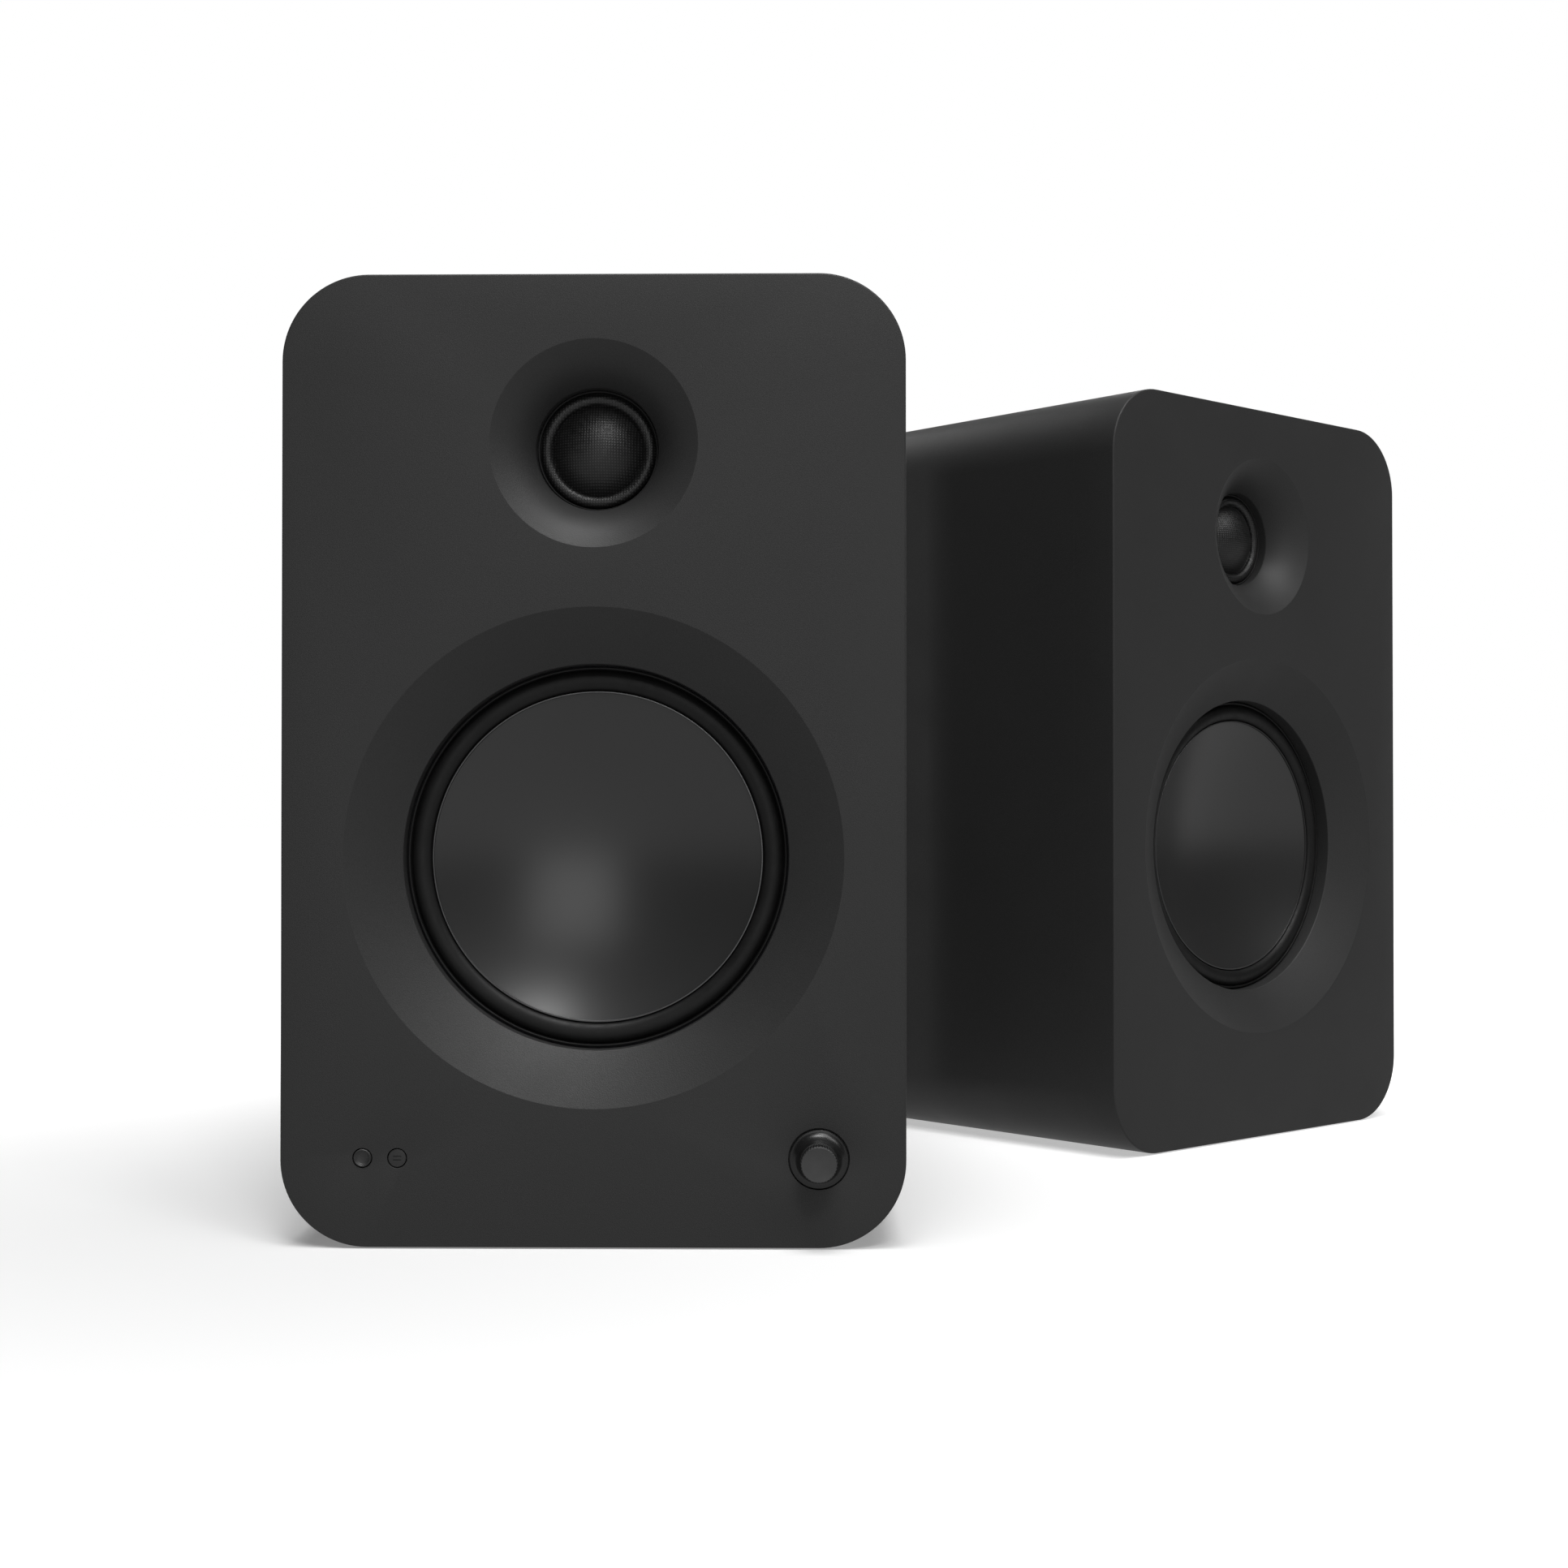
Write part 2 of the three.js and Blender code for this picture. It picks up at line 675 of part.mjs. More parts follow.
// Moulded block with its two threaded studs.
function terminalBlock() {
  const studs = [-1, 1].map((side) =>
    rod(BLOCK.studRadius, BLOCK.front + 6, BLOCK.studEnd, side * BLOCK.studX),
  );
  return join(
    box(BLOCK.width, BLOCK.height, BLOCK.front, FLANGE_FRONT + 0.1),
    box(BLOCK.width + 6, BLOCK.height + 6, FLANGE_FRONT, FLANGE_FRONT + 2),
    ...studs,
  );
}

function terminalCap() {
  const outline = new THREE.Shape(
    range(4 * CAP.flutes).map((i) => {
      const angle = (Math.PI * i) / (2 * CAP.flutes);
      const radius = CAP.radius - (i % 4 < 2 ? 0 : CAP.fluteDepth);
      return v2(radius * Math.cos(angle), radius * Math.sin(angle));
    }),
  );
  const bore = rod(CAP.bore, CAP.front - 1, CAP.back + 1);
  return cut(plate(outline, CAP.front, CAP.back), bore);
}

function rcaBlock() {
  const { pitch, radius } = SOCKETS.rca;
  const places = [-1, 0, 1].map((i) => i * pitch);
  const barrels = places.map((x) => rod(radius, 212, 233, x));
  const bores = places.map((x) => rod(JACK_BORE, 224, 234, x));
  return cut(join(box(46, 13, 206, PLATE_FRONT - GAP), ...barrels), ...bores);
}

function auxJack() {
  const body = join(box(9, 9, 208, PLATE_FRONT - GAP), rod(SOCKETS.aux.radius, 214, 227));
  return cut(body, rod(JACK_BORE, 212, 228));
}

// Metal shell with a contact tongue inside its mouth.
function tongueSocket({ width, height, wall, tongue, front }) {
  const shell = cut(
    box(width, height, front, FLANGE_FRONT + 0.8),
    box(width - 2 * wall, height - 2 * wall, front + 6, FLANGE_FRONT + 2),
  );
  return join(shell, box(width - 2 * wall - 3, tongue, front + 5, FLANGE_FRONT - 2));
}

function opticalSocket() {
  const [{ width, height, bore }, back] = [SOCKETS.optical, FLANGE_FRONT + 1];
  return cut(box(width, height, 208, back), box(bore, bore, 216, back + 1));
}

function ampBoard() {
  const { width, height, front, back } = AMP_BOARD;
  const capacitor = (x, z, radius, length) => rod(radius, front - length, front + 0.5, x, z);
  return join(
    box(width, height, front, back, 0, PLATE.z),
    box(60, 24, front - 18, front + 0.5, 0, 152),
    capacitor(-42, 128, 6, 16),
    capacitor(42, 128, 6, 16),
  );
}

// Switching supply on four posts in front of the amplifier board.
function powerSupply() {
  const { width, height, z, front, back } = SUPPLY;
  const posts = [-1, 1].flatMap((x) =>
    [-1, 1].map((up) => rod(2.5, back - 0.5, AMP_BOARD.front - GAP, x * 38, z + up * 24)),
  );
  return join(
    box(width, height, front, back, 0, z),
    box(34, 30, front - 26, front + 0.5, -14, z + 2),
    box(12, 50, front - 16, front + 0.5, 34, z),
    rod(8, front - 24, front + 0.5, 16, z + 12),
    rod(8, front - 24, front + 0.5, 16, z - 10),
    ...posts,
  );
}

// ---- satellite's own pieces ---------------------------------------------------------------------
function crossoverBoard() {
  const back = REAR_FRONT - CROSSOVER.behind;
  const front = back - CROSSOVER.thick;
  return join(
    box(CROSSOVER.width, CROSSOVER.height, front, back),
    rod(13, front - 14, front + 0.5, -22, 8),
    rod(7, front - 20, front + 0.5, 10, 10),
    box(24, 10, front - 9, front + 0.5, 18, -16),
    ...[-1, 1].map((x) => rod(3, back - 0.5, REAR_FRONT - GAP, x * 34)),
  );
}

// ---- assembly -----------------------------------------------------------------------------------
// What both speakers share. The name of each piece starts with the speaker's name.
function speaker(name, baffleCuts, rearOpening) {
  const group = new THREE.Group();
  const add = (part, geometry, finish, z = 0) => group.add(piece(`${name}_${part}`, geometry, finish, 0, z));
  add("front_baffle", baffle(baffleCuts), PAINT);
  add("cabinet_sleeve", sleeve(), PAINT);
  add("rear_panel", rearPanel(rearOpening), PAINT);
  add("port_tube", portTube(), PLASTIC);
  FOOT.y.forEach((y, row) =>
    ["left", "right"].forEach((side, i) => {
      add(`foot_${row ? "rear" : "front"}_${side}`, foot((2 * i - 1) * FOOT.x, y), RUBBER);
    }),
  );
  add("woofer_basket", basket(), COATED_ALU, WOOFER.z);
  add("woofer_magnet", wooferMagnet(), FERRITE, WOOFER.z);
  add("woofer_pole_yoke", poleYoke(), STEEL, WOOFER.z);
  add("woofer_cone", cone(), CONE_METAL, WOOFER.z);
  add("woofer_surround", surround(), RUBBER, WOOFER.z);
  add("woofer_spider", spider(), PAPER, WOOFER.z);
  add("woofer_voice_coil", voiceCoil(), PAPER, WOOFER.z);
  add("tweeter_mount", tweeterMount(), PLASTIC, TWEETER.z);
  add("tweeter_dome", tweeterDome(), SILK, TWEETER.z);
  add("tweeter_magnet", tweeterMagnet(), STEEL, TWEETER.z);
  return group;
}

function mainSpeaker() {
  const group = speaker("main", controlCuts(), { ...AMP_OPENING, z: PLATE.z });
  const onFront = (name, geometry, finish, x) => group.add(piece(name, geometry, finish, x, CONTROLS_Z));
  onFront("volume_knob", volumeKnob(), PLASTIC, KNOB.x);
  onFront("encoder_shaft", rod(KNOB_SHAFT.radius, KNOB_SHAFT.front, KNOB_SHAFT.back), STEEL, KNOB.x);
  onFront("encoder_rotor", encoderRotor(), PLASTIC, KNOB.x);
  onFront("encoder_housing", encoderHousing(), PLASTIC, KNOB.x);
  onFront("source_button", sourceButton(), PLASTIC, BUTTON.x);
  onFront("status_lens", statusLens(), GLOSS, LENS.x);
  group.add(piece("control_board", controlBoard(), BOARD));

  const onRear = (name, geometry, finish, at) => group.add(piece(name, geometry, finish, at.x, at.z));
  group.add(piece("amp_plate", ampPlate(), COATED_ALU));
  group.add(piece("amp_board", ampBoard(), BOARD));
  group.add(piece("power_supply", powerSupply(), BOARD));
  onRear("ac_inlet", acInlet(), PLASTIC, SOCKETS.inlet);
  const switchLever = piece("power_rocker", rocker(), PLASTIC);
  switchLever.position.set(SOCKETS.inlet.x + INLET.rockerX, ROCKER.pivot, SOCKETS.inlet.z);
  group.add(switchLever);
  onRear("rca_socket_block", rcaBlock(), PLASTIC, SOCKETS.rca);
  onRear("aux_jack", auxJack(), PLASTIC, SOCKETS.aux);
  onRear("hdmi_socket", tongueSocket(SOCKETS.hdmi), STEEL, SOCKETS.hdmi);
  onRear("usb_c_socket", tongueSocket(SOCKETS.usb), STEEL, SOCKETS.usb);
  onRear("optical_socket", opticalSocket(), PLASTIC, SOCKETS.optical);
  addTerminals(group, "main", SOCKETS.terminals);
  return group;
}

function addTerminals(group, name, at) {
  group.add(piece(`${name}_terminal_block`, terminalBlock(), PLASTIC, at.x, at.z));
  const place = (side) => at.x + side * BLOCK.studX;
  group.add(piece(`${name}_terminal_cap_red`, terminalCap(), RED, place(-1), at.z));
  group.add(piece(`${name}_terminal_cap_black`, terminalCap(), PLASTIC, place(1), at.z));
}

function satelliteSpeaker() {
  const z = SATELLITE_TERMINALS_Z;
  const opening = { width: BLOCK.width + 2 * GAP, height: BLOCK.height + 2 * GAP, z };
  const group = speaker("satellite", [], opening);
  addTerminals(group, "satellite", { x: 0, z });
  group.add(piece("crossover_board", crossoverBoard(), BOARD, 0, CROSSOVER.z));
  return group;
}

const pair = new THREE.Group();
const satellite = satelliteSpeaker();
satellite.position.set(SATELLITE.x, SATELLITE.y, 0);
satellite.rotation.z = THREE.MathUtils.degToRad(SATELLITE.turn);
pair.add(mainSpeaker(), satellite);

// The pair's origin is the middle of the floor that it covers.
const middle = new THREE.Box3().setFromObject(pair, true).getCenter(new THREE.Vector3());
pair.position.set(-middle.x, -middle.y, 0);

export default pair;
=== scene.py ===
import json
import math

import bmesh
import bpy
from mathutils import Matrix, Vector


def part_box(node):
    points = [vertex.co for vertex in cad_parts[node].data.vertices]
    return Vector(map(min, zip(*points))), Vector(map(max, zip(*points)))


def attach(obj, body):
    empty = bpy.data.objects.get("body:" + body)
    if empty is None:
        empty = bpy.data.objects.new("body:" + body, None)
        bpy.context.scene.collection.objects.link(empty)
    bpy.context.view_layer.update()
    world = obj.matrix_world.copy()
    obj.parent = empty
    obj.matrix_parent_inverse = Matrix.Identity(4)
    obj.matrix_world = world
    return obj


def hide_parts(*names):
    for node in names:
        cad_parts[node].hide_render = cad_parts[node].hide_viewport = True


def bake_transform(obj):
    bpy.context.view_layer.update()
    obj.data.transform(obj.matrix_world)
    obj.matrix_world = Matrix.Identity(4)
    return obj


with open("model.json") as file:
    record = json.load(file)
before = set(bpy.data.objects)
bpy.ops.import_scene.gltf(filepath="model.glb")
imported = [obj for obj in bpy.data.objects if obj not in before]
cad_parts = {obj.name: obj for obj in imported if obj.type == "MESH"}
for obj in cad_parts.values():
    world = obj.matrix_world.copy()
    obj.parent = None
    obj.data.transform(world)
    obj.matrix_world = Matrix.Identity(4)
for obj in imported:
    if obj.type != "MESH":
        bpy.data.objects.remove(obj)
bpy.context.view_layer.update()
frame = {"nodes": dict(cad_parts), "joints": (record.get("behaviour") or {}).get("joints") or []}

# ---- dimensions, in millimetres ----
# Each speaker is built in its own frame: the front face lies in the plane y = 0 and looks along -Y,
# x = 0 is the middle of the cabinet and z = 0 is the desk.
MM = 0.001
WIDTH, DEPTH = 176, 225
CORNER = 24.5
WALL = 15
BAFFLE = 18.15  # depth at which the front panel meets the sleeve
EDGE = 0.6  # rounding of the cabinet's outer edges
KNOB_X, BUTTON_X, LENS_X = 63.5, -55, -64.8
REAR_FACE = 222  # back of the rear panel
PLATE_BACK = 224.3  # back of the amplifier's plate
FLANGE = 224.6  # front of what is fixed on the outside of the plate
PLATE = {"width": 118, "height": 144, "corner": 5, "z": 104}
HOLE = {"radius": 55, "depth": 8.8, "flare": 70.6, "seat": 14.9, "rebate": 66.8}
CONE_RADIUS, CONE_RIM, CONE_SAG = 47.5, 14.2, 11
DOME_RADIUS, DOME_HEIGHT, DOME_EDGE = 12.8, 5.6, 15.4
FLARE = {"mouth": 29.5, "throat": 17.6, "depth": 11.5, "start": 0.55, "seat": 15, "rebate": 33}


def middle_height(node):
    """The height of a node's middle above the desk."""
    low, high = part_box(node)
    return (low.z + high.z) / 2 / MM


BOTTOM, TOP = (corner.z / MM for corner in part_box("main_cabinet_sleeve"))
HEIGHT = TOP - BOTTOM
MIDDLE = (BOTTOM + TOP) / 2
WOOFER_Z, TWEETER_Z = middle_height("main_woofer_cone"), middle_height("main_tweeter_dome")
CONTROLS_Z, PORT_Z = middle_height("volume_knob"), middle_height("main_port_tube")

FINE = 192  # sides on the woofer's circles
ROUND = 128  # sides on a large circle
SMALL = 64  # sides on a small one
HEAD_SIDES = 48  # sides on a screw head, a washer or a foot
CORNER_STEPS = 24


# ---- where the speakers stand ----
def foot_nodes(who):
    return [f"{who}_foot_{row}_{side}" for row in ("front", "rear") for side in ("left", "right")]


def foot_middle(who):
    """The middle of a speaker's four feet, on the desk."""
    corners = [corner for foot in foot_nodes(who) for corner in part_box(foot)]
    middle = sum(corners, Vector()) / len(corners)
    return Vector((middle.x, middle.y, 0))


def forward(who):
    """The way a speaker faces, which is the way its woofer travels."""
    travel = next(j for j in frame["joints"] if j["name"] == f"{who}_woofer_travel")
    return Vector(travel["axis"])


FEET_TO_FRONT = foot_middle("main").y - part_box("main_front_baffle")[0].y


def speaker_frame(who):
    """The matrix that takes a speaker's own metres to the row frame."""
    back, up = -forward(who), Vector((0, 0, 1))
    right = back.cross(up)
    axes = Matrix((right, back, up)).transposed().to_4x4()
    return Matrix.Translation(foot_middle(who) - back * FEET_TO_FRONT) @ axes


FRAMES = {who: speaker_frame(who) for who in ("main", "satellite")}


# ---- camera, lights and floor ----
# The camera's lens and sensor in mm, its place in the main speaker's frame, and radians left and up.
CAMERA_LENS, CAMERA_SENSOR = 50.95, 36
CAMERA_PLACE = (62.8, -622.8, BOTTOM + 122.6)
CAMERA_TURN, CAMERA_PITCH = 0.0146, 0.012
FLOOR_SIZE = 30  # metres
FLOOR_BASE = 0.67  # how much light its surface throws back
# Painted light: the floor's glow is weak near the main speaker, which paints shade round the speakers, and
# full far off.
FLOOR_PAINTED_GLOW = (0.0, 0.8, 0.2, 1.0)  # from and to these metres, the glow rises from and to these strengths
BOUNCE = 0.55  # brightness of the floor as the speakers see it
BOUNCE_DROP = 0.001  # metres from the floor down to the sheet that the speakers see


def make_camera():
    data = bpy.data.cameras.new("camera")
    data.lens, data.sensor_width = CAMERA_LENS, CAMERA_SENSOR
    data.clip_start, data.clip_end = 0.01, 100
    camera = bpy.data.objects.new("camera", data)
    bpy.context.scene.collection.objects.link(camera)
    place = Matrix.Translation(Vector(CAMERA_PLACE) * MM)
    aim = Matrix.Rotation(CAMERA_TURN, 4, "Z") @ Matrix.Rotation(math.pi / 2 + CAMERA_PITCH, 4, "X")
    camera.matrix_world = FRAMES["main"] @ place @ aim
    bpy.context.scene.camera = camera


# Soft square lights: degrees to the right of the front, degrees up, watts and metres across.
SOFTBOXES = {
    "top": (10, 70, 37, 1.2),
    "top_left": (-20, 70, 27, 1.2),
    "key_high": (30, 50, 8, 0.6),
    "key_low": (9, 43, 18, 0.6),
    "front_low": (0, 10, 9, 1.2),
}
# These light the speakers only, so they cast no shadow on the floor.
SIDE_SOFTBOXES = {
    "right_low": (60, 40, 12, 1.2),
    "right_high": (60, 55, 13, 1.2),
    "side_right": (135, 10, 7, 1.2),
    "side_left": (-100, 5, 6, 1.2),
    "back_left": (-150, 30, 18, 1.2),
    "back_right": (160, 40, 18, 1.2),
}
FLOOR_WASH = (0, 50, 19, 1.8)  # lights the floor only
SOFTBOX_DISTANCE = 3.0
SOFTBOX_TARGET = Vector((0, 0, 0.14))


def softbox(name, right, up, power, size):
    turn, lift = math.radians(right), math.radians(up)
    away = Vector((math.sin(turn) * math.cos(lift), -math.cos(turn) * math.cos(lift), math.sin(lift)))
    data = bpy.data.lights.new(name, "AREA")
    data.size, data.energy = size, power
    lamp = bpy.data.objects.new(name, data)
    bpy.context.scene.collection.objects.link(lamp)
    lamp.location = SOFTBOX_TARGET + away * SOFTBOX_DISTANCE
    lamp.rotation_euler = away.to_track_quat("Z", "Y").to_euler()
    return lamp


def only(name, floor, state):
    """A group of what a lamp lights: the floor alone, or everything but the floor."""
    group = bpy.data.collections.new(name)
    group.objects.link(floor)
    group.collection_objects[0].light_linking.link_state = state
    return group


def make_lights(floor):
    for name, box in SOFTBOXES.items():
        softbox(name, *box)
    speakers_only = only("speakers_only", floor, "EXCLUDE")
    for name, box in SIDE_SOFTBOXES.items():
        softbox(name, *box).light_linking.receiver_collection = speakers_only
    floor_only = only("floor_only", floor, "INCLUDE")
    softbox("floor_wash", *FLOOR_WASH).light_linking.receiver_collection = floor_only


def set_range(node, *values):
    """Sets what a Map Range node maps from and to."""
    for socket, value in zip(("From Min", "From Max", "To Min", "To Max"), values):
        node.inputs[socket].default_value = value


def floor_plane(name, height, material):
    bpy.ops.mesh.primitive_plane_add(size=FLOOR_SIZE, location=(0, 0, height))
    plane = bpy.context.object
    plane.name = name
    plane.data.materials.append(material)
    return plane


def white_floor(name, base, glow):
    material = bpy.data.materials.new(name)
    material.use_nodes = True
    values = {
        "Base Color": (base, base, base, 1),
        "Roughness": 0.9,
        "Specular IOR Level": 0,
        "Emission Color": (1, 1, 1, 1),
        "Emission Strength": glow,
    }
    for socket, value in values.items():
        material.node_tree.nodes["Principled BSDF"].inputs[socket].default_value = value
    return material


def make_floor():
    """A pale floor that takes shadows, with a painted glow that rises with distance from a front corner of
    the
    main speaker: painted shade darkens it round the speakers, and far off it glows white like a lit backdrop.
    The speakers see an evenly lit sheet just under it instead."""
    pale = white_floor("floor_pale", FLOOR_BASE, 0)
    tree = pale.node_tree
    where = tree.nodes.new("ShaderNodeTexCoord")
    distance = tree.nodes.new("ShaderNodeVectorMath")
    distance.operation = "DISTANCE"
    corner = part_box("main_cabinet_sleeve")[0]
    distance.inputs[1].default_value = (corner.x, corner.y, 0)
    # Painted glow: emission that rises with distance from the speaker's corner, so the floor is painted
    # darker near the speakers.
    glow = tree.nodes.new("ShaderNodeMapRange")
    glow.interpolation_type = "SMOOTHSTEP"
    set_range(glow, *FLOOR_PAINTED_GLOW)
    tree.links.new(where.outputs["Object"], distance.inputs[0])
    tree.links.new(distance.outputs["Value"], glow.inputs["Value"])
    tree.links.new(glow.outputs["Result"], tree.nodes["Principled BSDF"].inputs["Emission Strength"])
    floor = floor_plane("floor", 0, pale)
    floor.visible_diffuse = False
    floor.visible_glossy = False

    sheet = white_floor("floor_bounce", 0, BOUNCE)
    sheet.cycles.emission_sampling = "NONE"
    bounce = floor_plane("floor_bounce", -BOUNCE_DROP, sheet)
    bounce.visible_camera = False
    bounce.visible_shadow = False
    return floor


def make_world():
    world = bpy.data.worlds.new("white")
    bpy.context.scene.world = world
    world.use_nodes = True
    world.node_tree.nodes["Background"].inputs["Color"].default_value = (1, 1, 1, 1)
    world.cycles_visibility.diffuse = False
    world.cycles_visibility.glossy = False
    bpy.context.scene.view_settings.view_transform = "Standard"
    bpy.context.scene.view_settings.look = "None"


# ---- materials ----
NOISE_RANGE = (0.3, 0.7)  # nearly all of a noise texture's values lie between these
BANDS_PER_TAU = 20  # a wave texture of scale 1 draws this many bands in tau units
GRAIN = 0.5  # millimetres across a grain of bare or coated metal


class Finish:
    """A material whose colour, roughness and relief vary by procedural texture."""

    def __init__(self, name, roughness, metallic=0.0, **sockets):
        self.material = bpy.data.materials.new(name)
        self.material.use_nodes = True
        self.tree = self.material.node_tree
        self.shader = self.tree.nodes["Principled BSDF"]
        self.shader.inputs["Roughness"].default_value = roughness
        self.shader.inputs["Metallic"].default_value = metallic
        for socket, value in sockets.items():
            self.shader.inputs[socket.replace("_", " ")].default_value = value
        self.where = self.node("ShaderNodeTexCoord").outputs["Object"]
        self.roughness = roughness

    def node(self, kind, **inputs):
        made = self.tree.nodes.new(kind)
        for name, value in inputs.items():
            self.set(made.inputs[name], value)
        return made

    def set(self, socket, value):
        if isinstance(value, bpy.types.NodeSocket):
            self.tree.links.new(value, socket)
        else:
            socket.default_value = value

    def noise(self, size, detail=2.0):
        """Noise whose grains are about that many millimetres across."""
        made = self.node("ShaderNodeTexNoise", Vector=self.where, Scale=1 / (size * MM), Detail=detail)
        return made.outputs["Fac"]

    def spread(self, value, low, high):
        """Maps the middle of a noise's range to low..high."""
        made = self.node("ShaderNodeMapRange", Value=value)
        set_range(made, *NOISE_RANGE, low, high)
        return made.outputs["Result"]

    def colors(self, value, dark, light):
        mixed = self.node("ShaderNodeMix")
        mixed.data_type = "RGBA"
        self.set(mixed.inputs["Factor"], self.spread(value, 0.0, 1.0))
        self.set(mixed.inputs[6], (*dark, 1))
        self.set(mixed.inputs[7], (*light, 1))
        self.set(self.shader.inputs["Base Color"], mixed.outputs[2])

    def rough(self, value, change):
        low, high = self.roughness - change, self.roughness + change
        self.set(self.shader.inputs["Roughness"], self.spread(value, low, high))

    def relief(self, value, depth, strength):
        """Bumps of that depth in millimetres."""
        bump = self.node("ShaderNodeBump", Height=value, Strength=strength, Distance=depth * MM)
        self.set(self.shader.inputs["Normal"], bump.outputs["Normal"])


def grey(value):
    return (value, value, value)


def paint():
    """Matte black paint with a very fine orange peel and a slight speckle."""
    finish = Finish("cabinet_paint", 0.52, Specular_IOR_Level=0.3)
    fine, broad = finish.noise(0.35), finish.noise(22, 4)
    finish.colors(fine, grey(0.0215), grey(0.0265))
    finish.rough(broad, 0.03)
    finish.relief(fine, 0.05, 0.9)
    return finish.material


def moulding(name="moulded_plastic", value=0.016, roughness=0.45):
    finish = Finish(name, roughness, Specular_IOR_Level=0.45)
    fine = finish.noise(0.18)
    finish.colors(finish.noise(6, 3), grey(value * 0.9), grey(value * 1.15))
    finish.rough(fine, 0.05)
    finish.relief(fine, 0.012, 0.5)
    return finish.material


def rubber(name="roll_rubber", value=0.007, roughness=0.5):
    finish = Finish(name, roughness, Specular_IOR_Level=0.22)
    fine = finish.noise(0.25)
    finish.colors(finish.noise(9, 3), grey(value * 0.85), grey(value * 1.2))
    finish.rough(finish.noise(3), 0.06)
    finish.relief(fine, 0.01, 0.6)
    return finish.material


def cone_metal():
    """Satin black anodised aluminium."""
    finish = Finish("cone_satin", 0.29, Specular_IOR_Level=0.55)
    fine = finish.noise(0.12)
    finish.colors(finish.noise(30, 1), grey(0.0225), grey(0.0235))
    finish.rough(finish.noise(40, 1), 0.006)
    finish.relief(fine, 0.006, 0.4)
    return finish.material


def weave(name, dark, light, pitch, roughness):
    """Cloth woven in two directions."""
    finish = Finish(name, roughness, Specular_IOR_Level=0.5)
    bands = []
    scale = math.tau / BANDS_PER_TAU / (pitch * MM)
    for axis in ("X", "Z"):
        wave = finish.node("ShaderNodeTexWave", Vector=finish.where, Scale=scale)
        wave.bands_direction = axis
        bands.append(wave.outputs["Fac"])
    mesh = finish.node("ShaderNodeMath")
    mesh.operation = "MULTIPLY"
    finish.set(mesh.inputs[0], bands[0])
    finish.set(mesh.inputs[1], bands[1])
    threads = mesh.outputs["Value"]
    finish.colors(threads, dark, light)
    finish.rough(finish.noise(1.5), 0.08)
    finish.relief(threads, 0.06, 1.0)
    return finish.material


def metal(name, color, roughness):
    finish = Finish(name, roughness, 1.0)
    dark = tuple(c * 0.85 for c in color)
    finish.colors(finish.noise(GRAIN * 6, 3), dark, color)
    finish.rough(finish.noise(GRAIN), 0.06)
    finish.relief(finish.noise(GRAIN * 0.3), 0.004, 0.5)
    return finish.material


def gloss(name, color, roughness):
    finish = Finish(name, roughness, Coat_Weight=0.3, Coat_Roughness=0.05)
    finish.colors(finish.noise(3), tuple(c * 0.8 for c in color), color)
    finish.rough(finish.noise(1.2), 0.03)
    finish.relief(finish.noise(0.8), 0.003, 0.4)
    return finish.material


PAINT = paint()
PLASTIC = moulding()
DULL_RING = moulding("ring_plastic", 0.008, 0.8)
# The knob is one black plastic: its skirt is painted darker as painted shade and its end face lighter as
# painted light.
KNOB_SHADED_SKIRT = moulding("knob_skirt_painted_shade", 0.008, 0.3)
KNOB_LIT_END = moulding("knob_end_painted_light", 0.036, 0.45)
ROLL = rubber()
FOOT_RUBBER = rubber("foot_rubber", 0.014, 0.7)
CONE = cone_metal()
SILK = weave("dome_silk", grey(0.003), grey(0.024), 0.8, 0.45)
SPIDER_CLOTH = weave("spider_cloth", (0.30, 0.20, 0.08), (0.46, 0.33, 0.15), 0.6, 0.8)
LENS = moulding("lens_satin", 0.022, 0.48)
# Very dark plastic whose darkness is painted shade for engraved marks.
ENGRAVING_SHADE = moulding("mark_painted_shade", 0.002, 0.9)
STEEL = metal("plated_steel", (0.55, 0.56, 0.58), 0.3)
GOLD = metal("gold_plate", (0.78, 0.55, 0.22), 0.25)
DARK_METAL = metal("coated_metal", (0.028, 0.028, 0.03), 0.55)
SCREW_BLACK = metal("screw_black", (0.05, 0.05, 0.052), 0.4)
# Lighter metal for the cone's rim bead, a painted highlight.
RIM_HIGHLIGHT = metal("rim_painted_highlight", (0.12, 0.12, 0.122), 0.4)
COPPER = metal("coil_copper", (0.70, 0.32, 0.16), 0.3)
FERRITE = moulding("ferrite_grey", 0.04, 0.7)
BOARD = gloss("circuit_green", (0.012, 0.075, 0.03), 0.35)
RED = gloss("terminal_red", (0.32, 0.012, 0.010), 0.3)
ORANGE = gloss("insert_orange", (0.5, 0.14, 0.02), 0.35)
WHITE_PLASTIC = moulding("insert_white", 0.6, 0.4)
PLATE_COAT = moulding("powder_coat", 0.017, 0.6)


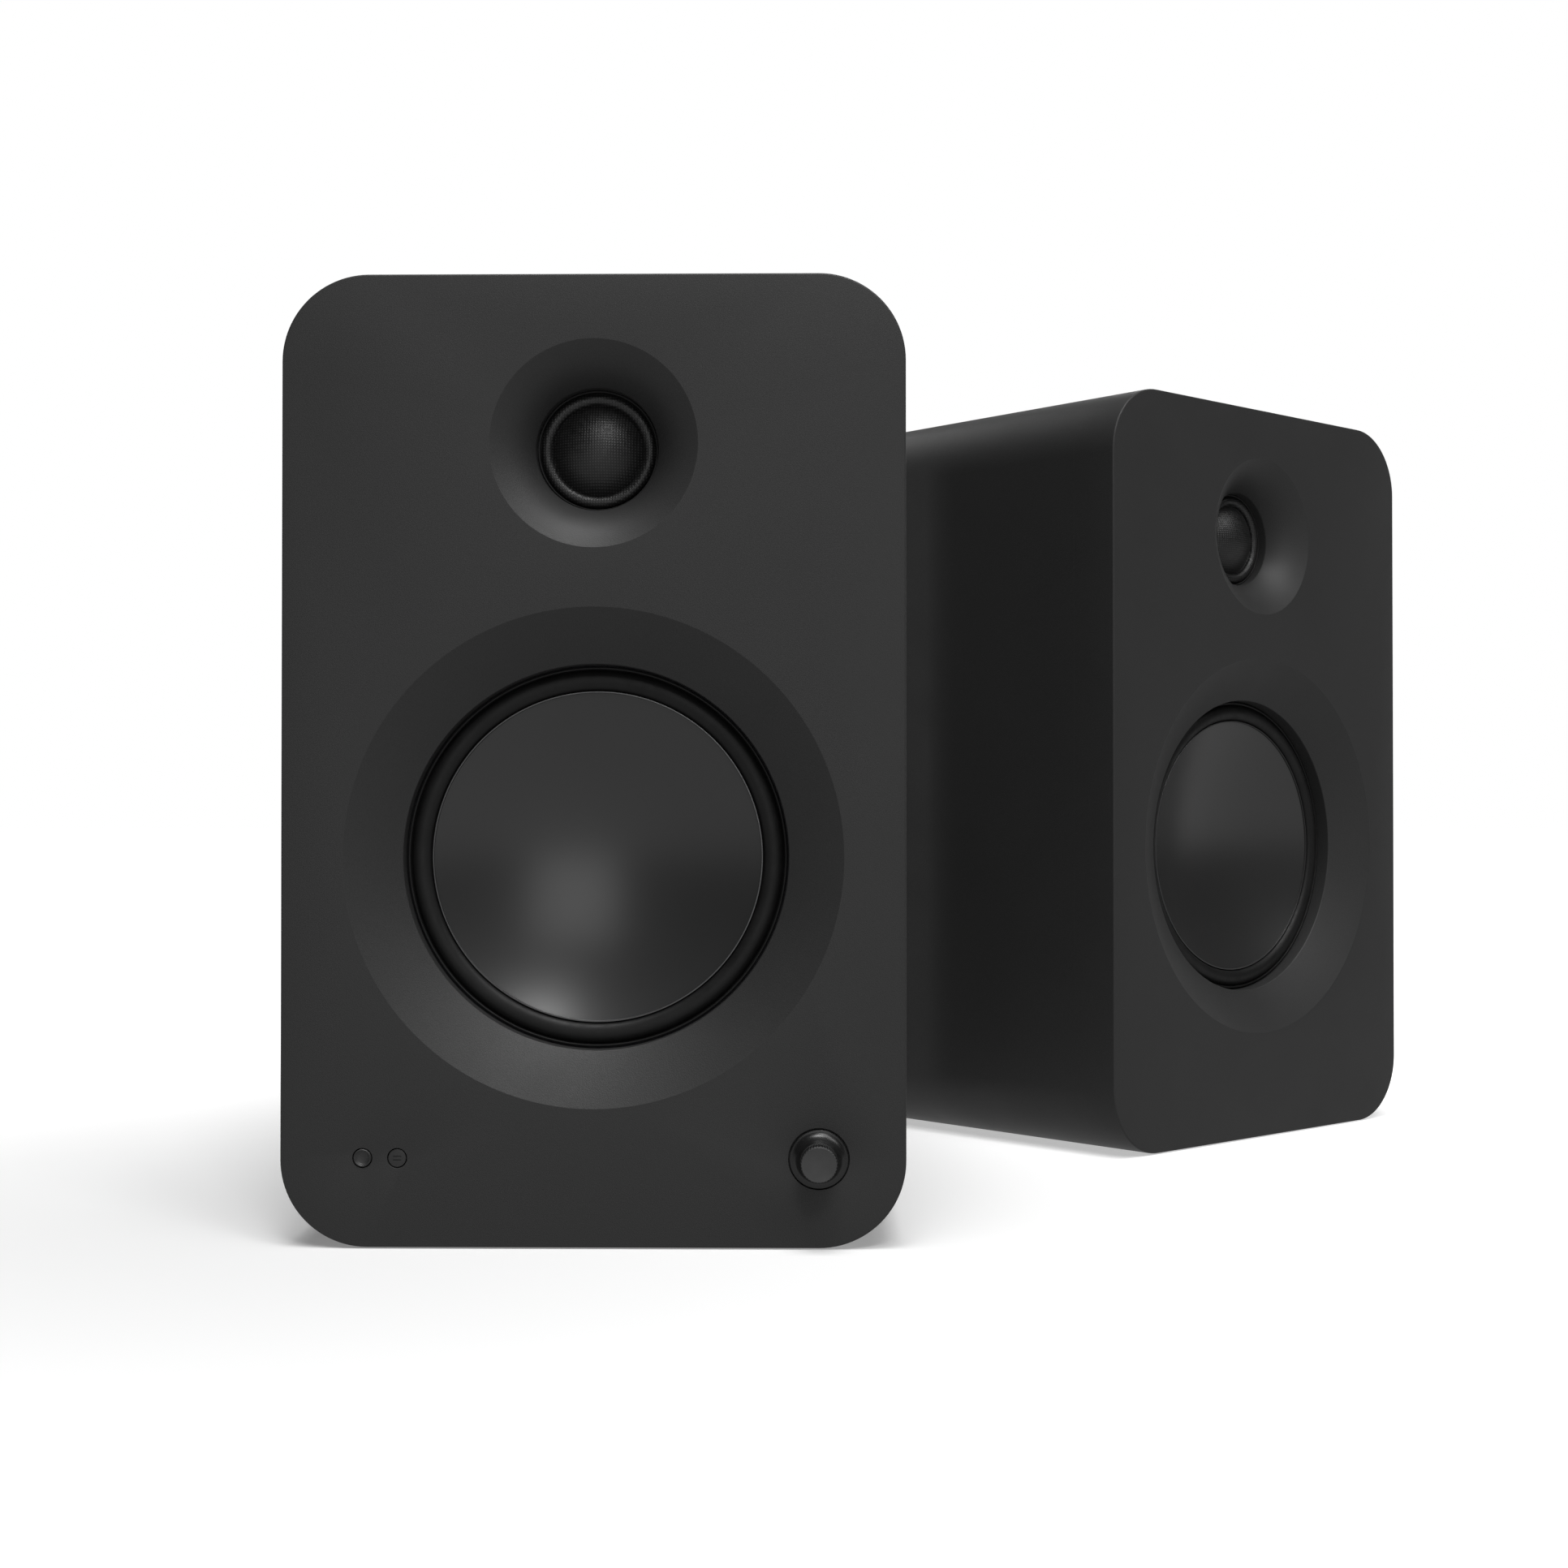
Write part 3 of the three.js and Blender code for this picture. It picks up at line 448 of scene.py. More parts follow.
# ---- making meshes ----
class Shell:
    """A surface put together from rings of points in millimetres."""

    def __init__(self):
        self.mesh = bmesh.new()

    def ring(self, points):
        return [self.mesh.verts.new(Vector(point) * MM) for point in points]

    def join(self, *rings):
        """Skins each ring to the next. A ring of one point is a tip."""
        for one, other in zip(rings, rings[1:]):
            for i in range(max(len(one), len(other))):
                j = i + 1
                corners = [one[i % len(one)], one[j % len(one)], other[j % len(other)], other[i % len(other)]]
                self.mesh.faces.new(list(dict.fromkeys(corners))).smooth = True

    def flat(self, *rings):
        """Fills the flat area between an outer ring and the rings inside it."""
        edges = []
        for ring in rings:
            for a, b in zip(ring, ring[1:] + ring[:1]):
                edges.append(self.mesh.edges.get((a, b)) or self.mesh.edges.new((a, b)))
        bmesh.ops.triangle_fill(self.mesh, edges=edges, use_beauty=True)

    def finish(self, name, material, sharp=35):
        bmesh.ops.recalc_face_normals(self.mesh, faces=self.mesh.faces)
        data = bpy.data.meshes.new(name)
        self.mesh.to_mesh(data)
        self.mesh.free()
        data.set_sharp_from_angle(angle=math.radians(sharp))
        data.materials.append(material)
        piece = bpy.data.objects.new(name, data)
        bpy.context.scene.collection.objects.link(piece)
        return piece


def quarter(steps):
    """Angles from none to a quarter turn."""
    return [math.pi / 2 * i / steps for i in range(steps + 1)]


def wavy(radius_at, sides, depth, x, z):
    """A circle whose radius varies from one point to the next."""
    points = []
    for i in range(sides):
        radius, turn = radius_at(i), math.tau * i / sides
        points.append((x + radius * math.cos(turn), depth, z + radius * math.sin(turn)))
    return points


def circle(radius, depth, x=0.0, z=0.0, sides=ROUND):
    if radius == 0:
        return [(x, depth, z)]
    turns = [math.tau * i / sides for i in range(sides)]
    return [(x + radius * math.cos(t), depth, z + radius * math.sin(t)) for t in turns]


def outline(width, height, corner, depth, x=0.0, z=0.0, steps=CORNER_STEPS):
    """A rectangle with round corners."""
    points = []
    for turns, (side, up) in enumerate(((1, 1), (-1, 1), (-1, -1), (1, -1))):
        cx, cz = x + side * (width / 2 - corner), z + up * (height / 2 - corner)
        for i in range(steps + 1):
            t = math.pi / 2 * (turns + i / steps)
            points.append((cx + corner * math.cos(t), depth, cz + corner * math.sin(t)))
    return points


def rounded(profile, steps=4):
    """A profile of (radius, depth) or (radius, depth, fillet) corners, with the fillets drawn as arcs."""
    points = []
    for i, (r, y, *fillet) in enumerate(profile):
        here = Vector((r, y))
        if not fillet:
            points.append(here)
            continue
        before = (Vector(profile[i - 1][:2]) - here).normalized()
        after = (Vector(profile[(i + 1) % len(profile)][:2]) - here).normalized()
        half = before.angle(after) / 2
        reach = fillet[0] / math.tan(half)
        middle = here + (before + after).normalized() * (fillet[0] / math.sin(half))
        first, last = here + before * reach - middle, here + after * reach - middle
        for step in range(steps + 1):
            points.append(middle + first.lerp(last, step / steps).normalized() * fillet[0])
    return points


def revolve(shell, profile, x=0.0, z=0.0, sides=ROUND, closed=True):
    """Turns a profile round the axis along Y through x and z."""
    rings = [shell.ring(circle(max(r, 0.0), y, x, z, sides)) for r, y in profile]
    shell.join(*rings)
    if closed and len(rings[0]) > 1:
        shell.join(rings[-1], rings[0])
    return rings


def turned(name, material, profile, x=0.0, z=0.0, sides=ROUND, sharp=35):
    shell = Shell()
    revolve(shell, rounded(profile), x, z, sides)
    return shell.finish(name, material, sharp)


def slab(shell, size, corner, front, back, x=0.0, z=0.0, fillet=0.3, holes=(), steps=6):
    """A plate with a soft rim round its back face. A hole is an outline, as a function of its depth,
    and the depth of its floor, or None where it goes right through."""
    sides = [shell.ring(outline(*size, corner, front, x, z, steps))]
    for t in quarter(4) if fillet else [0]:
        inset, depth = fillet * (1 - math.cos(t)), back - fillet * (1 - math.sin(t))
        width, height = (side - 2 * inset for side in size)
        sides.append(shell.ring(outline(width, height, max(corner - inset, 0.05), depth, x, z, steps)))
    shell.join(*sides)
    front_rings, back_rings = [sides[0]], [sides[-1]]
    for shape, floor in holes:
        mouth = shell.ring(shape(back))
        end = shell.ring(shape(front if floor is None else floor))
        shell.join(mouth, end)
        back_rings.append(mouth)
        if floor is None:
            front_rings.append(end)
        else:
            shell.flat(end)
    shell.flat(*front_rings)
    shell.flat(*back_rings)


def put(piece, who, body, slot, *nodes):
    """Places a piece made in a speaker's own frame, fixes it to a body and hides the nodes that it takes the
    place of.
    """
    piece.matrix_world = FRAMES[who] @ piece.matrix_world
    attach(piece, body)
    if nodes:
        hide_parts(*nodes)


# ---- cabinet ----
SEAM = 0.02  # a hair between the front panel and the sleeve
PANEL_GAP = 0.3  # round the rear panel, and under the port's flange
PORT_BACK = REAR_FACE + 2.5
POCKET = {"width": 141, "height": 17, "corner": 1, "floor": 8, "lift": 1}  # behind the front controls
KNOB_WELL = {"radius": 8.6, "depth": 1.8, "bore": 4}
SMALL_BORE = 2.8  # for the button and the lens


def flare_profile(steps=28):
    """The waveguide's curve from its mouth to its throat."""
    span = FLARE["mouth"] - FLARE["throat"]
    bend = (FLARE["depth"] - FLARE["start"] * span) / span**3
    parts = [span * i / steps for i in range(steps + 1)]
    return [(FLARE["mouth"] - t, FLARE["start"] * t + bend * t**3) for t in parts]


def cabinet_outline(inset, depth):
    """The cabinet's outline, drawn in by that much."""
    return outline(WIDTH - 2 * inset, HEIGHT - 2 * inset, CORNER - inset, depth, 0, MIDDLE)


def bored(shell, profile, z, x=0.0, sides=ROUND):
    """The wall of a hole. Returns its first and last ring, which the flat faces are filled up to."""
    rings = revolve(shell, profile, x, z, sides, closed=False)
    return rings[0], rings[-1]


def control_holes(shell, front_rings, back_rings):
    """The holes for the knob, the button and the lens, and the pocket that they open into.
    The first corner of a hole's profile only gives the fillet of its rim a direction."""

    def pocket(depth):
        size = (POCKET["width"], POCKET["height"], POCKET["corner"])
        return shell.ring(outline(*size, depth, 0, CONTROLS_Z + POCKET["lift"], 4))

    floor = POCKET["floor"]
    pocket_front, pocket_back = pocket(floor), pocket(BAFFLE)
    shell.join(pocket_front, pocket_back)
    well, depth, bore = KNOB_WELL["radius"], KNOB_WELL["depth"], KNOB_WELL["bore"]
    knob_hole = rounded([(well + 10, 0), (well, 0, 0.12), (well, depth), (bore, depth), (bore, floor)])[1:]
    small_hole = rounded([(SMALL_BORE + 10, 0), (SMALL_BORE, 0, 0.1), (SMALL_BORE, floor)])[1:]
    inner = []
    for profile, x in ((knob_hole, KNOB_X), (small_hole, BUTTON_X), (small_hole, LENS_X)):
        first, last = bored(shell, profile, CONTROLS_Z, x, SMALL)
        front_rings.append(first)
        inner.append(last)
    shell.flat(pocket_front, *inner)
    back_rings.append(pocket_back)


def baffle(who):
    shell = Shell()
    edge = [(EDGE * (1 - math.sin(t)), EDGE * (1 - math.cos(t))) for t in quarter(5)]
    rims = [shell.ring(cabinet_outline(inset, depth)) for inset, depth in edge]
    rear = shell.ring(cabinet_outline(0, BAFFLE))
    shell.join(*rims, rear)
    radius, rebate, seat = HOLE["radius"], HOLE["rebate"], HOLE["seat"]
    slope = [(HOLE["flare"] + 10, 0), (HOLE["flare"], 0, 0.5), (radius, HOLE["depth"], 0.5)]
    woofer = rounded(slope + [(radius, seat), (rebate, seat), (rebate, BAFFLE)])[1:]
    mouth = flare_profile()
    throat, rebate, seat = FLARE["throat"], FLARE["rebate"], FLARE["seat"]
    crease = rounded([(FLARE["mouth"] + 10, 0), (*mouth[0], 0.35), mouth[3]])[1:-1]
    bend = rounded([mouth[-4], (*mouth[-1], 1.0), (throat, seat)])[1:-1]
    tweeter_hole = crease + mouth[2:-1] + bend + [(throat, seat), (rebate, seat), (rebate, BAFFLE)]
    front_rings, back_rings = [], []
    for profile, z in ((woofer, WOOFER_Z), (tweeter_hole, TWEETER_Z)):
        first, last = bored(shell, profile, z)
        front_rings.append(first)
        back_rings.append(last)
    if who == "main":
        control_holes(shell, front_rings, back_rings)
    shell.flat(rims[0], *front_rings)
    shell.flat(rear, *back_rings)
    piece = shell.finish(f"{who}_front_panel", PAINT, 30)
    put(piece, who, who, "cabinet_black", f"{who}_front_baffle")


def sleeve(who):
    shell = Shell()
    front, inner_edge = BAFFLE + SEAM, 0.4

    def loop(inset, depth):
        return shell.ring(cabinet_outline(inset, depth))

    outside = [loop(0, front)]
    outside += [loop(EDGE * (1 - math.cos(t)), DEPTH - EDGE * (1 - math.sin(t))) for t in quarter(5)]
    inside = []
    for t in quarter(5):
        inside.append(loop(WALL - inner_edge * (1 - math.sin(t)), DEPTH - inner_edge * (1 - math.cos(t))))
    inside.append(loop(WALL, front))
    shell.join(*outside, *inside, outside[0])
    piece = shell.finish(f"{who}_cabinet_shell", PAINT, 30)
    put(piece, who, who, "cabinet_black", f"{who}_cabinet_sleeve")


def rear_panel(who, opening):
    shell = Shell()
    width, height = WIDTH - 2 * (WALL + PANEL_GAP), HEIGHT - 2 * (WALL + PANEL_GAP)
    front, back, port_hole = REAR_FACE - 15, REAR_FACE, 31.7
    outside = [
        shell.ring(outline(width - 2 * inset, height - 2 * inset, CORNER - WALL - inset, depth, 0, MIDDLE))
        for inset, depth in ((0, front), (0, back - 0.3), (0.09, back - 0.09), (0.3, back))
    ]
    port_rings = bored(shell, [(port_hole, front), (port_hole, back)], PORT_Z)
    w, h, z = opening
    hole = [shell.ring(outline(w, h, 1, depth, 0, z, 4)) for depth in (front, back)]
    shell.join(*outside)
    shell.join(*hole)
    shell.flat(outside[0], port_rings[0], hole[0])
    shell.flat(outside[-1], port_rings[1], hole[1])
    piece = shell.finish(f"{who}_back_panel", PAINT, 20)
    put(piece, who, who, "cabinet_black", f"{who}_rear_panel")


def port(who):
    """Reflex port: a straight tube that flares out into its flange."""
    bore, tube, neck, rim, mouth = 20, 22.5, 31, 35, 29.5
    inner_end, bend_start, bend_end, bend_length = 135, 197, 211, 24
    seat = REAR_FACE + PANEL_GAP
    outside = [(tube, inner_end), (tube, bend_start), (neck, bend_end), (neck, seat)]
    outside += [(rim, seat), (rim, PORT_BACK, 0.8)]
    lip = [(mouth + 1.4, PORT_BACK), (mouth + 0.5, PORT_BACK - 0.1)]
    flared = []
    for t in quarter(16)[1:]:
        depth = PORT_BACK - bend_length * (1 - math.cos(t))
        flared.append((mouth - (mouth - bore) * math.sin(t), depth))
    profile = outside + lip + flared + [(bore, inner_end)]
    piece = turned(f"{who}_port", PLASTIC, profile, z=PORT_Z)
    put(piece, who, who, "plastic_black", f"{who}_port_tube")


def feet(who):
    for node in foot_nodes(who):
        low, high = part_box(node)
        x, y = (low.x + high.x) / 2 / MM, (low.y + high.y) / 2 / MM
        shell = Shell()
        radius, height = (high.x - low.x) / 2 / MM, high.z / MM
        profile = rounded([(0, 0), (radius, 0, 0.3), (radius, height), (0, height)])
        rings = [circle(max(r, 0.0), depth, x, y, HEAD_SIDES) for r, depth in profile]
        shell.join(*(shell.ring([(across, along, up) for across, up, along in ring]) for ring in rings))
        piece = shell.finish(f"{node}_pad", FOOT_RUBBER)
        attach(piece, who)
        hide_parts(node)


# ---- drivers ----
def dish(r):
    """Depth of the cone's front at that radius."""
    return CONE_RIM + CONE_SAG * (1 - (r / CONE_RADIUS) ** 2)


def woofer_cone(who):
    """A dish with a low lip round it, and on the lip a thin bead of lighter metal as a painted highlight."""
    thick, rim, lip = 0.5, CONE_RADIUS - 0.5, dish(CONE_RADIUS) - 0.35
    radii = [rim * i / 32 for i in range(33)]
    front = [(r, dish(r)) for r in radii]
    edge = [(rim + 0.08, lip, 0.06), (CONE_RADIUS, lip, 0.15), (CONE_RADIUS, CONE_RIM + thick)]
    behind = [(r, dish(r) + thick) for r in reversed(radii)]
    piece = turned(f"{who}_woofer_dish", CONE, front + edge + behind, z=WOOFER_Z, sides=FINE)
    put(piece, who, f"{who}_woofer", "cone_satin", f"{who}_woofer_cone")
    # The bead's lighter metal is a painted highlight along the cone's rim.
    inner, outer, low, high = CONE_RADIUS - 0.3, CONE_RADIUS - 0.02, lip - 0.02, lip + 0.1
    bead = [(inner, low), (outer, low, 0.08), (outer, high), (inner, high)]
    piece = turned(f"{who}_woofer_rim", RIM_HIGHLIGHT, bead, z=WOOFER_Z, sides=FINE)
    put(piece, who, f"{who}_woofer", "cone_satin")


def stretch(piece, who, inner, outer):
    """Places a ring in a speaker's frame and bakes that place into its mesh."""
    piece.matrix_world = FRAMES[who]
    bpy.context.view_layer.update()
    middle = FRAMES[who] @ (Vector((0, CONE_RIM, WOOFER_Z)) * MM)
    across = Vector((0, 0, 1))
    flat = forward(who)
    start, end = (middle + across * radius * MM for radius in (outer, inner))
    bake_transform(piece)
    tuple(start)
    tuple(end)


def woofer_surround(who):
    """Half roll between the cone and the basket, with a raised gasket round it."""
    middle, half, thick, seat, rise = 50.6, 2.75, 0.5, CONE_RIM + 0.1, 0.7
    arc = [math.pi * i / 20 for i in range(21)]

    def roll(radius):
        return [(middle + radius * math.cos(t), seat - rise * radius * math.sin(t)) for t in arc]

    def behind(radius):
        return dish(radius) + 0.8

    lip, gasket, glued = HOLE["radius"] - 0.5, 13.3, 45
    profile = [(lip, gasket, 0.3), (middle + half + 0.5, gasket, 0.35), (middle + half + 0.2, seat - 0.05)]
    profile += roll(half)[1:]
    profile += [(middle - half, behind(CONE_RADIUS)), (glued, behind(glued)), (glued, behind(glued) + thick)]
    profile += [(middle - half + thick, behind(CONE_RADIUS) + thick)]
    profile += roll(half - thick)[::-1] + [(middle + half, seat + 0.25), (lip, seat + 0.25)]
    piece = turned(f"{who}_surround_roll", ROLL, profile, z=WOOFER_Z, sides=FINE, sharp=50)
    stretch(piece, who, middle - half, middle + half)
    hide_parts(f"{who}_woofer_surround")


def woofer_spider(who):
    """A corrugated cloth disc that centres the voice coil."""
    inner, outer, waves, height, depth, thick = 14.1, 39, 6, 0.9, 38.0, 0.5
    steps = waves * 10
    radii = [inner + (outer - inner) * i / steps for i in range(steps + 1)]
    ripples = [height * math.sin(math.pi * waves * i / steps) ** 2 for i in range(steps + 1)]
    front = [(r, depth - ripple) for r, ripple in zip(radii, ripples)]
    profile = front + [(r, y + thick) for r, y in reversed(front)]
    piece = turned(f"{who}_spider_disc", SPIDER_CLOTH, profile, z=WOOFER_Z, sides=SMALL, sharp=60)
    stretch(piece, who, inner, outer)
    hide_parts(f"{who}_woofer_spider")


def tweeter(who):
    """The mount ring with a ledge that closes the view past the roll, then the dome with its roll."""
    bore, lip, ledge, flange = 16.9, 17.3, 13.7, 32.7
    front, flange_front, ledge_front, back = 14.4, 15.3, 16.2, 18
    ring = [(bore, front, 0.15), (lip, front, 0.15), (lip, flange_front), (flange, flange_front)]
    ring += [(flange, back), (ledge, back), (ledge, ledge_front), (bore, ledge_front)]
    piece = turned(f"{who}_tweeter_ring", DULL_RING, ring, z=TWEETER_Z)
    put(piece, who, who, "plastic_black", f"{who}_tweeter_mount")

    ball = (DOME_RADIUS**2 + DOME_HEIGHT**2) / (2 * DOME_HEIGHT)
    rim = math.asin(DOME_RADIUS / ball)
    thick, middle, half, coil_end = 0.3, 14.85, 1.75, DOME_EDGE + 4.6

    def cap(inset):
        turns = [rim * i / 24 for i in range(25)]
        base = DOME_EDGE - DOME_HEIGHT + ball
        return [((ball - inset) * math.sin(t), base - (ball - inset) * math.cos(t)) for t in turns]

    def roll(radius):
        arc = [math.pi * i / 16 for i in range(17)]
        return [(middle - radius * math.cos(t), DOME_EDGE - radius * math.sin(t)) for t in arc]

    groove = [(DOME_RADIUS + 0.15, DOME_EDGE + 0.12)]
    profile = cap(0) + groove + roll(half) + roll(half - thick)[::-1]
    profile += [(DOME_RADIUS, DOME_EDGE + 0.4), (DOME_RADIUS, coil_end), (DOME_RADIUS - thick, coil_end)]
    profile += cap(thick)[::-1]
    piece = turned(f"{who}_soft_dome", SILK, profile, z=TWEETER_Z, sharp=50)
    put(piece, who, f"{who}_tweeter", "dome_silk", f"{who}_tweeter_dome")


# ---- front controls ----
KNOB = {"skirt": 8.2, "back": 1.0, "edge": 0.4, "neck": 5.2, "grip": 5.1, "start": 5.2, "proud": 10.5,
        "shaft": 1.7, "shaft_end": 8.3}
KNURL = {"teeth": 36, "depth": 0.3, "steps": 6}


def knurled(shell, radius, depth, height):
    """A ring with flat-topped teeth of that height."""
    steps, steepness = KNURL["steps"], 1.6

    def radius_at(i):
        from_root = min(i % steps, steps - i % steps) * 2 / steps
        return radius - height * (1 - min(1.0, from_root * steepness))

    return shell.ring(wavy(radius_at, KNURL["teeth"] * steps, depth, KNOB_X, CONTROLS_Z))


def knob():
    """A skirt that spreads like a trumpet's bell under a knurled grip with a dished end."""
    shell = Shell()
    skirt, grip, proud, edge = KNOB["skirt"], KNOB["grip"], KNOB["proud"], KNOB["edge"]
    tooth, sides = KNURL["depth"], KNURL["teeth"] * KNURL["steps"]

    def plain(radius, depth):
        return shell.ring(circle(radius, depth, KNOB_X, CONTROLS_Z, sides))

    rings = [plain(skirt, KNOB["back"]), plain(skirt, -edge + 0.15), plain(skirt - 0.05, -edge + 0.04)]
    for t in quarter(16):
        spread = skirt - 0.12 - (skirt - 0.12 - KNOB["neck"]) * math.sin(t)
        rings.append(plain(spread, -edge - (KNOB["start"] - edge) * (1 - math.cos(t))))
    face = grip - 0.35
    rings += [
        knurled(shell, grip - 0.2, -KNOB["start"] - 0.05, 0.0),
        knurled(shell, grip, -KNOB["start"] - 0.25, tooth),
        knurled(shell, grip, -proud + 0.35, tooth),
        knurled(shell, grip - 0.12, -proud + 0.1, tooth / 2),
        knurled(shell, face, -proud, 0.0),
    ]
    for i in range(1, 13):
        r = face * (1 - i / 12)
        rings.append(plain(r, -proud + 0.3 * (1 - (r / face) ** 2)))
    shell.join(*rings)
    shaft, shaft_end = KNOB["shaft"], -KNOB["shaft_end"]
    bore = [plain(shaft, KNOB["back"]), plain(shaft, shaft_end), plain(0, shaft_end)]
    shell.join(rings[0], *bore)
    piece = shell.finish("volume_knob_grip", KNOB_SHADED_SKIRT, 28)
    # The end face takes the lighter copy as painted light; the rest keeps the darker copy as painted shade.
    piece.data.materials.append(KNOB_LIT_END)
    for polygon in piece.data.polygons:
        polygon.material_index = int(polygon.center.y < -(proud - 0.4) * MM)
    put(piece, "main", "volume_knob", "plastic_black", "volume_knob")


def bar(name, material, width, height, front, back, x, z):
    """A thin plate with round corners."""
    shell = Shell()
    slab(shell, (width, height), min(width, height) / 3, front, back, x, z, 0)
    return shell.finish(name, material)


def button():
    """The source button, with two short dark bars as a generic mark: the bars stand for an engraved icon, and
    their dark colour is painted shade.
    """
    front, radius, collar, pin = 0.15, 2.55, 3.6, 1.6
    collar_front, collar_back, pin_end = 9, 10, 12.9
    profile = [(0, front), (radius, front, 0.18), (radius, collar_front), (collar, collar_front)]
    profile += [(collar, collar_back), (pin, collar_back), (pin, pin_end), (0, pin_end)]
    piece = turned("source_button_cap", PLASTIC, profile, BUTTON_X, CONTROLS_Z, SMALL)
    put(piece, "main", "source_button", "plastic_black", "source_button")
    # The bars are dark as painted shade in place of engraved grooves.
    width, height, above, below = 2.4, 0.28, front - 0.015, front + 0.1
    for i, z in enumerate((-0.5, 0.5)):
        name = f"source_button_mark_{i + 1}"
        mark = bar(name, ENGRAVING_SHADE, width, height, above, below, BUTTON_X, CONTROLS_Z + z)
        put(mark, "main", "source_button", "plastic_black")


def lens():
    """A light guide with a raised rim round a dished face."""
    radius, back = 2.55, 14.2
    dished = [(1.55 * i / 8, 0.45 - 0.2 * (i / 8) ** 2) for i in range(9)]
    step = [(1.6, 0.2), (1.95, 0.05, 0.1), (2.15, -0.2, 0.1), (2.3, -0.2, 0.1)]
    profile = dished + step + [(radius, 0.15, 0.1), (radius, back), (0, back)]
    piece = turned("status_lens_cap", LENS, profile, LENS_X, CONTROLS_Z, SMALL)
    put(piece, "main", "main", "lens_gloss", "status_lens")


# ---- sockets, terminals and screws on the rear ----
def disc_at(radius, x, z):
    return lambda depth: circle(radius, depth, x, z, SMALL)


def slot_at(width, height, corner, x, z):
    return lambda depth: outline(width, height, corner, depth, x, z, 6)


SLOTS = {STEEL: "steel", GOLD: "steel", PLATE_COAT: "coated_metal"}  # the rest is plastic_black


def trim(name, material, x, z, size, corner, front, back, fillet=0.3, holes=(), nodes=(), who="main"):
    """A slab on the rear of a speaker."""
    shell = Shell()
    slab(shell, size, corner, front, back, x, z, fillet, holes)
    put(shell.finish(name, material), who, who, SLOTS.get(material, "plastic_black"), *nodes)


def rod(name, material, profile, x, z, nodes=(), sides=SMALL, who="main"):
    """A turned piece on the rear of a speaker."""
    piece = turned(name, material, profile, x, z, sides)
    put(piece, who, who, SLOTS.get(material, "plastic_black"), *nodes)


def cross(arm, half, depth, x, z):
    """A plus-shaped outline."""
    corner = [(arm, half), (half, half), (half, arm)]
    points = []
    for turn in range(4):
        c, s = round(math.cos(turn * math.pi / 2)), round(math.sin(turn * math.pi / 2))
        points += [(x + c * px - s * pz, depth, z + s * px + c * pz) for px, pz in corner]
    return points


def screw(name, who, x, depth, z, radius=2.9):
    """A pan-head screw with a cross recess. Its head stands on the face at that depth."""
    shell = Shell()
    height, flat, arm, half = radius * 0.62, 0.62, radius * 0.5, radius * 0.11
    rings = [shell.ring(circle(radius, depth, x, z, HEAD_SIDES))]
    for t in quarter(6)[:-1]:
        across = radius * (1 - (1 - flat) * (1 - math.cos(t)))
        rings.append(shell.ring(circle(across, depth + height * math.sin(t), x, z, HEAD_SIDES)))
    rings.append(shell.ring(circle(radius * flat, depth + height, x, z, HEAD_SIDES)))
    shell.join(*rings)
    top = shell.ring(cross(arm, half, depth + height, x, z))
    low = shell.ring(cross(arm * 0.5, half * 0.8, depth + height * 0.35, x, z))
    shell.join(top, low)
    shell.flat(low)
    shell.flat(rings[-1], top)
    shell.flat(rings[0])
    put(shell.finish(name, SCREW_BLACK), who, who, "coated_metal")


SOCKETS = {
    "inlet": (31, 52),
    "terminals": (-30, 54),
    "rca": (-24, 94),
    "aux": (22, 94),
    "hdmi": (-34, 130),
    "usb": (-6, 130),
    "optical": (22, 130),
}
RCA_PITCH, RCA_RADIUS, AUX_RADIUS = 16, 4.2, 3.3
HDMI_SIZE, USB_SIZE, OPTICAL_SIZE = (15.4, 6.4), (9.6, 4.0), (12, 12)
INLET_SIZE, BLOCK_SIZE = (46, 22), (40, 18)
BORDER = 3  # how far the flanges of the inlet and the terminals reach past their bodies
INLET_MOUTH, SWITCH_WELL = (18, 9.6, 4.6), (12, 20, 0.6)  # width, height and corner
OPTICAL_MOUTH = (8.6, 8.6, 1.2)
INLET_X, SWITCH_X = SOCKETS["inlet"][0] - 11, SOCKETS["inlet"][0] + 13
STUD_X = 9.5  # each terminal's distance from the middle of its block
SATELLITE_TERMINALS_Z = 70
GAP = 0.3


def grown(size, by):
    return tuple(side + 2 * by for side in size)


def rca_places():
    x, z = SOCKETS["rca"]
    return [(x + i * RCA_PITCH, z) for i in (-1, 0, 1)]


